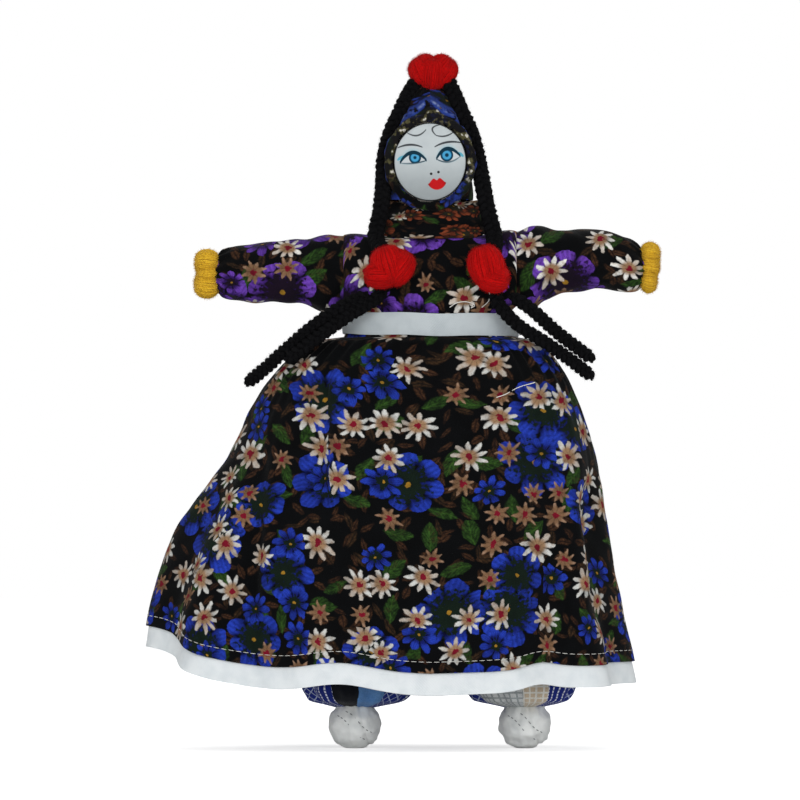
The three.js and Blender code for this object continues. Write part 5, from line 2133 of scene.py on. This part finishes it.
@dataclass
class Legs(Assembly):
    """The baggy pieced trousers, gathered at the ankles, and the white cloth feet."""

    foot: Point = (18.6, 26.0, 17.6)
    foot_x: Pair = (-27.0, 34.0)
    foot_y: float = -1.0
    hip_x: Pair = (-18.0, 22.0)
    hip_radius: float = 16.5
    puff: float = 20.0
    ankle: float = 7.0
    ankle_z: float = 14.6
    puff_z: float = 22.6
    foot_fill: float = 0.9
    leg_flat: Pair = (0.118, 0.118)
    seat_height: float = 0.042

    def __post_init__(self) -> None:
        """Works out the outlines from the sizes."""
        mid_z = self.puff_z + 0.4 * (HIP_Z - self.puff_z)
        mid = self.puff - 0.3 * (self.puff - self.hip_radius)
        self.foot_z = self.foot[2] / 2 - 0.25
        self.radius = Profile((self.ankle_z, self.ankle), (self.ankle_z + 8 / 3, self.ankle + 0.78 * 13),
                              (self.puff_z, self.puff), (mid_z, mid), (HIP_Z, self.hip_radius))

    def line(self, side: Side, z: np.ndarray) -> np.ndarray:
        """Places on a leg's middle line, from the foot to the hip.

        Args:
            side: Which leg.
            z: Heights.

        Returns:
            The places.
        """
        foot, hip = side.of(self.foot_x), side.of(self.hip_x)
        share = np.clip((z - self.foot_z) / (HIP_Z - self.foot_z), 0, 1)
        return grid(foot + share * (hip - foot), self.foot_y * (1 - share), z)

    def build(self) -> None:
        """Makes and places the trousers and feet."""
        for side in Side:
            self.leg(side)
            self.foot_ball(side)
        self.seat()

    def leg(self, side: Side) -> None:
        """Makes and places one trouser leg, with a rounded top inside the seat.

        Args:
            side: Which leg.
        """
        word = side.word
        cap = np.radians(np.linspace(6, 62, 10))
        z = np.concatenate([np.linspace(self.ankle_z, self.puff_z, 18), np.linspace(24, HIP_Z, 34)])
        radius = np.concatenate([self.radius(z), self.hip_radius * np.cos(cap)])[:, None]
        z = np.concatenate([z, HIP_Z + self.hip_radius * np.sin(cap)])[:, None]
        turn = ring(120, BACK)
        pleat = np.cos(15 * turn + 1.5 * np.sin(4 * turn))
        out = radius * (1 - 0.05 * (1 + pleat) * ease(z, 34, 16))
        places = np.repeat(self.line(side, z), len(turn), axis=1)
        push(places, turn, out)
        rumple = 0.35 * ripple(places, 14, 101 + side.value) + 0.2 * ripple(places, 6, 103)
        push(places, turn, rumple * ease(z, 112, 95))
        sheet = Sheet.rolled(places, distance(grid(z[:, 0], radius[:, 0])), TAU * 18)
        cloth = self.bench.cloth(f"trouser_leg_cloth_{word}", side.of(self.look.trousers), sheet,
                                 middle=self.bench.metres((side.of(self.foot_x), 0, 0)))
        self.bench.place(cloth, f"leg_{word}", "trouser_print", f"trouser_leg_{word}")
        self.bench.sheet(cloth, self.leg_flat, "gathered", f"leg_wad_{word}")

    def foot_ball(self, side: Side) -> None:
        """Makes and places one foot: a stuffed ball of white cloth, drawn together above.

        Args:
            side: Which leg.
        """
        rise = np.linspace(0, 1, 46)
        tilt, a = np.meshgrid(rise * math.pi, ring(72), indexing="ij")
        way = grid(np.sin(tilt) * np.cos(a), np.sin(tilt) * np.sin(a), -np.cos(tilt))
        half = np.array(self.foot) / 2 + (0, 0, 0.25)
        middle = np.array([side.of(self.foot_x), self.foot_y, half[2] - 0.5])
        pleat = 0.035 * np.cos(17 * a + 3 * np.sin(2 * a)) * ease(tilt, 1.7, 2.6) * ease(tilt, math.pi, 2.9)
        seam = -0.07 * hump(way[..., 0] + 0.25 * way[..., 2], 0.35, 0.06)
        wrinkle = 0.026 * ripple(way * 9 + side.value * 7, 5, 105) + 0.016 * ripple(way * 9, 2.4, 106)
        soft = ease(tilt, 0.25, 0.7)
        places = middle + way * half * (1 + (pleat + seam + wrinkle) * soft)[..., None]
        places[..., 2] = np.maximum(places[..., 2], 0.0)
        sheet = Sheet.rolled(places, rise * 30, 70.0)
        ball = self.bench.solid(f"foot_cloth_{side.word}", self.look.cotton, sheet)
        self.bench.place(ball, f"leg_{side.word}", "white_cotton", f"foot_{side.word}")
        self.foot_stitches(side, middle, half)

    def foot_stitches(self, side: Side, middle: np.ndarray, half: np.ndarray) -> None:
        """Hand stitches that draw a foot's cloth together across its front.

        Args:
            side: Which leg.
            middle: Middle of the foot.
            half: Half its size, three ways.
        """
        t = np.linspace(0, 1, 20)
        rows = []
        for start, end in (((-0.62, 0.35), (0.35, -0.55)), ((-0.3, 0.52), (0.62, -0.28))):
            x = start[0] + (end[0] - start[0]) * t
            z = start[1] + (end[1] - start[1]) * t + 0.06 * np.sin(TAU * t)
            y = -np.sqrt(np.clip(1 - x * x - z * z, 0, None))
            rows.append(middle + grid(x, y, z) * half * 1.005)
        made = self.bench.stitched(f"foot_stitches_{side.word}", rows, (1.9, 1.3, 0.38),
                                   self.look.grey_thread, 111)
        self.bench.place(made, f"leg_{side.word}", "white_cotton")

    def seat(self) -> None:
        """The seat of the trousers, from the hips up to the waist."""
        at = (HIP_Z, HIP_Z + 20, WAIST_SEAM_Z - 6, WAIST_SEAM_Z)
        wide = Profile(*zip(at, (41, 37.6, 28.7, 28.7)))
        deep = Profile(*zip(at, (21.2, 19.6, 18.2, 18.2)))
        heights = np.linspace(HIP_Z, WAIST_SEAM_Z - 0.3, 34)
        angle, z = np.meshgrid(ring(144, BACK), heights)
        gather = 0.35 * np.cos(30 * angle) * ease(z, 132, 148)
        places = oval(angle, wide(z) - gather, deep(z) - gather, z)
        places[..., 0] += sum(self.hip_x) / 2 * (1 - (z - HIP_Z) / (WAIST_SEAM_Z - HIP_Z))
        push(places, angle, -np.abs(0.3 * ripple(places, 15, 107)))
        girth = path_length(places[0])
        sheet = Sheet.rolled(places, heights, girth)
        cloth = self.bench.cloth("trouser_seat_cloth", Side.LEFT.of(self.look.trousers), sheet)
        self.bench.place(cloth, "torso", "trouser_print", "trouser_seat")
        self.bench.sheet(cloth, (girth * MM, self.seat_height), "gathered", "hip_wad")


@dataclass
class Inside(Assembly):
    """What is under the cloth: wads of cotton wool, the stick, the arm wire and its lashing."""

    top: Garment
    legs: Legs
    stick_radius: float = 2.5
    wire_radius: float = 0.8
    play: float = 0.3
    chest_bore: float = 6.8
    leg_bore: float = 0.6
    body_fill: float = 0.7
    limb_fill: float = 0.8

    def build(self) -> None:
        """Makes and places the inner pieces."""
        nodes = {f"arm_wire_{word}": self.look.wire for word in ("left", "middle", "right")}
        nodes["spine_stick"] = self.look.wood
        for name, material in nodes.items():
            node = bpy.data.objects[name]
            node.data.materials.clear()
            node.data.materials.append(material)
        self.body_wads()
        for side in Side:
            self.arm_wad(side)
            self.leg_wad(side)
        self.lashing()

    def wad(self, name: str, body: str, full: float, line: np.ndarray, sizes: np.ndarray, first: Point,
            bore: float, seed: int) -> None:
        """Makes and places a lumpy wad round a line, with a bore for what runs through it.

        Args:
            name: Name of the piece.
            body: The body that it moves with.
            full: How tightly it is stuffed, from 0 to 1; not used.
            line: Places along its middle.
            sizes: Half width and half depth at each place.
            first: The way that its width goes.
            bore: Radius of the bore.
            seed: For its lumps.
        """
        wide, deep = (way[:, None] for way in carried_frames(line, first))
        line = line[:, None]
        turn = ring(48)[None, :, None]
        spread = np.cos(turn) * wide * sizes[:, :1, None] + np.sin(turn) * deep * sizes[:, 1:, None]
        lumps = 0.97 + 0.03 * ripple(line + spread, 9, seed)
        outer = line + spread * lumps[..., None]
        inner = line + bore * (np.cos(turn) * wide + np.sin(turn) * deep)
        sheet = Sheet.skin(np.concatenate([outer, inner[::-1], outer[:1]]))
        made = self.bench.solid(name, self.look.wadding, sheet)
        self.bench.place(made, body, "wadding", name.replace("wad", "stuffing"))

    def body_wads(self) -> None:
        """The wads of the head, chest and hips, on the stick, from (z, half width, half depth) stations."""
        on_stick = self.stick_radius + self.play
        head = ((186, 11, 9.5), (196, 11.5, 9.5), (203, 12.4, 11.2), (212, 12.8, 11.4), (222, 11, 10),
                (230, 6.5, 6.5))
        chest = ((151, 26.5, 16.5), (158, 26, 16.5), (163, 22.5, 17), (178, 22, 16.5), (183.5, 11, 10))
        hips = ((129.5, 31, 16), (138, 29, 16.5), (149.2, 27, 16))
        forms = (
            ("head_wad", "head", head, 1.6, on_stick),
            ("torso_wad", "torso", chest, 0.0, self.chest_bore),
            ("hip_wad", "torso", hips, 0.0, on_stick),
        )
        for number, (name, body, stations, y, bore) in enumerate(forms):
            at, wide, deep = zip(*stations)
            z = np.linspace(at[0], at[-1], 24)
            sizes = grid(*(Profile(*zip(at, half))(z) for half in (wide, deep)))
            line = grid(0.0, y, z)
            self.wad(name, body, self.body_fill, line, sizes, (1, 0, 0), bore, 121 + number)

    def arm_wad(self, side: Side) -> None:
        """The wad of an arm, on its wire.

        Args:
            side: Which arm.
        """
        top, word = self.top, side.word
        reach = top.sleeve_reach
        run = np.linspace(-8.5, 0.94 * reach, 30)
        line = grid(side.value * (top.shoulder_x + run), 0.0, side.of(top.arm_z))
        end = np.sqrt(np.clip(1 - (np.minimum(run, 0) / 9.4) ** 2, 0.05, None))
        slack = 1.7 + 0.5 * ease(run, 10, 0) + 1.2 * ease(run, 0.8 * reach, reach)
        size = (top.radius(np.clip(run, 0, None)) - slack - np.abs(side.of(top.sag)(run))) * end
        sizes = grid(size, size * top.arm_flat)
        bore = self.wire_radius + self.play
        self.wad(f"arm_wad_{word}", f"arm_{word}", self.limb_fill, line, sizes, (0, 0, 1), bore, 131)

    def leg_wad(self, side: Side) -> None:
        """The wad of a leg, with a rounded top.

        Args:
            side: Which leg.
        """
        legs, word = self.legs, side.word
        cap = HIP_Z + legs.hip_radius * np.sin(np.linspace(0.15, 1.1, 8))
        z = np.concatenate([np.linspace(19.5, HIP_Z, 34), cap])
        ball = np.sqrt(np.clip(1 - (np.clip(z - HIP_Z, 0, None) / (legs.hip_radius + 0.6)) ** 2, 0.02, None))
        size = (legs.radius(np.clip(z, None, HIP_Z)) * (1 - 0.1 * ease(z, 34, 20)) - 1.9) * ball
        line = legs.line(side, z)
        sizes = grid(size, size)
        self.wad(f"leg_wad_{word}", f"leg_{word}", self.limb_fill, line, sizes, (1, 0, 0), self.leg_bore, 135)

    def lashing(self) -> None:
        """Cotton thread wound round the stick and the wire where they cross, in two layers."""
        z, thread, turns = 173.15, 0.45, 9
        front = -(self.stick_radius + 2 * self.wire_radius + self.play)
        angle = np.linspace(0, TAU * turns, 40 * turns + 1)
        half_depth = (self.stick_radius - front) / 2 + thread
        middle = (self.stick_radius + front) / 2
        out = self.stick_radius + thread + 0.15
        layers = []
        for way, grow in ((-1, 0), (1, 1.7 * thread)):
            up = z + way * np.linspace(-3.4, 3.4, len(angle))
            y = middle + (half_depth + grow) * np.sin(angle)
            layers.append(grid((out + grow) * np.cos(angle), y, up))
        made = self.bench.yarn("lashing_thread", layers, [thread, thread], self.look.thread, 141)
        self.bench.place(made, "torso", "thread", "wire_lashing")


@dataclass
class LooseThreads(Assembly):
    """Short ends of white sewing thread left on the bodice and the skirt."""

    skirt: Skirt
    top: Garment
    thread: float = 0.16

    def build(self) -> None:
        """Makes and places the thread ends."""
        low = [(23.6, 125.8), (27, 127), (31.5, 129.4), (37.5, 131.2)]
        high = [
            [(7, 158), (9.5, 159.6), (13, 160), (16, 158.8), (14.6, 157.8)],
            [(18.5, 158), (21, 160.4), (21.2, 163.2), (19.6, 164.6)],
        ]
        ends = [[(x, self.skirt.front(x, z) - 0.3, z) for x, z in low]]
        ends += [[(x, -float(self.top.depth_at(x, z)) - 0.7, z) for x, z in points] for points in high]
        paths = [smooth_path(points, 0.5) for points in ends]
        made = self.bench.yarn("loose_threads", paths, [self.thread] * len(paths), self.look.thread, 151, 5)
        self.bench.place(made, "torso", "thread")


@dataclass
class Stage:
    """A white floor, plain soft light and a level camera."""

    view_width: float = 0.2872
    view_middle: Point = (-0.0025, 0.0, 0.1249)
    distance: float = 4.0
    sensor: float = 36.0
    floor_half: float = 3.0
    lamps: Sequence[tuple[str, Point, float, float]] = (
        ("key_lamp", (-0.4, -1.5, 0.44), 0.8, 10.0),
        ("fill_lamp", (0.6, -1.4, 0.34), 0.6, 6.0),
        ("back_lamp", (0.1, 1.0, 0.9), 0.8, 4.0),
    )

    def build(self) -> None:
        """Sets up the floor, the world, the lamps and the camera."""
        scene = bpy.context.scene
        scene.view_settings.view_transform = "Standard"
        self.floor()
        self.world()
        for lamp in self.lamps:
            self.hang(*lamp)
        lens = bpy.data.cameras.new("camera")
        lens.sensor_width = self.sensor
        lens.lens = self.sensor * self.distance / self.view_width
        camera = bpy.data.objects.new("camera", lens)
        x, y, z = self.view_middle
        camera.location = (x, y - self.distance, z)
        camera.rotation_euler = (math.pi / 2, 0, 0)
        scene.collection.objects.link(camera)
        scene.camera = camera

    @staticmethod
    def hang(name: str, place: Point, size: float, power: float) -> None:
        """Hangs a square soft lamp that faces the doll's middle.

        Args:
            name: Its name.
            place: Where it hangs, in metres.
            size: Length of its sides, in metres.
            power: In watts.
        """
        light = bpy.data.lights.new(name, "AREA")
        light.size = size
        light.energy = power
        lamp = bpy.data.objects.new(name, light)
        lamp.location = place
        aim = np.array((0.0, 0.0, 0.12)) - place
        across = math.hypot(aim[0], aim[1])
        lamp.rotation_euler = (math.atan2(across, -aim[2]), 0, math.atan2(aim[1], aim[0]) - math.pi / 2)
        bpy.context.scene.collection.objects.link(lamp)

    def floor(self) -> None:
        """A pale floor that keeps the shadow and looks white to the camera."""
        half = self.floor_half
        corners = [(-half, -half, 0), (half, -half, 0), (half, half, 0), (-half, half, 0)]
        mesh = bpy.data.meshes.new("floor")
        mesh.from_pydata(corners, [], [(0, 1, 2, 3)])
        floor = bpy.data.objects.new("floor", mesh)
        bpy.context.scene.collection.objects.link(floor)
        t = Shade("white_floor")
        matt = t.node("ShaderNodeBsdfDiffuse", {"Color": (0.8, 0.8, 0.8)})[0]
        glow = t.node("ShaderNodeEmission", {"Color": (1.0, 1.0, 1.0), "Strength": t.seen() * 0.56})[0]
        both = t.node("ShaderNodeAddShader", {0: matt, 1: glow})[0]
        t.node("ShaderNodeOutputMaterial", {"Surface": both})
        mesh.materials.append(t.material)

    @staticmethod
    def world() -> None:
        """Plain white all round for the camera, and a soft even light on the doll."""
        world = bpy.data.worlds.new("studio")
        world.use_nodes = True
        bpy.context.scene.world = world
        t = Tree(world.node_tree)
        world.node_tree.nodes.clear()
        strength = t.seen() * 0.4 + 0.6
        sky = t.node("ShaderNodeBackground", {"Color": (1.0, 1.0, 1.0), "Strength": strength})[0]
        t.node("ShaderNodeOutputWorld", {"Surface": sky})


def main() -> None:
    """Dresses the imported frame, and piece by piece."""
    logging.basicConfig(level=logging.INFO, format="%(name)s: %(message)s")
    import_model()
    bench = Bench()
    Stage().build()
    braids, skirt, top, head, legs = (kind(bench) for kind in (Braids, Skirt, Garment, Head, Legs))
    inside, threads = Inside(bench, top, legs), LooseThreads(bench, skirt, top)
    for part in (braids, skirt, top, head, legs, inside, threads):
        LOG.info("building %s", type(part).__name__)
        part.build()


if __name__ == "__main__":
    main()
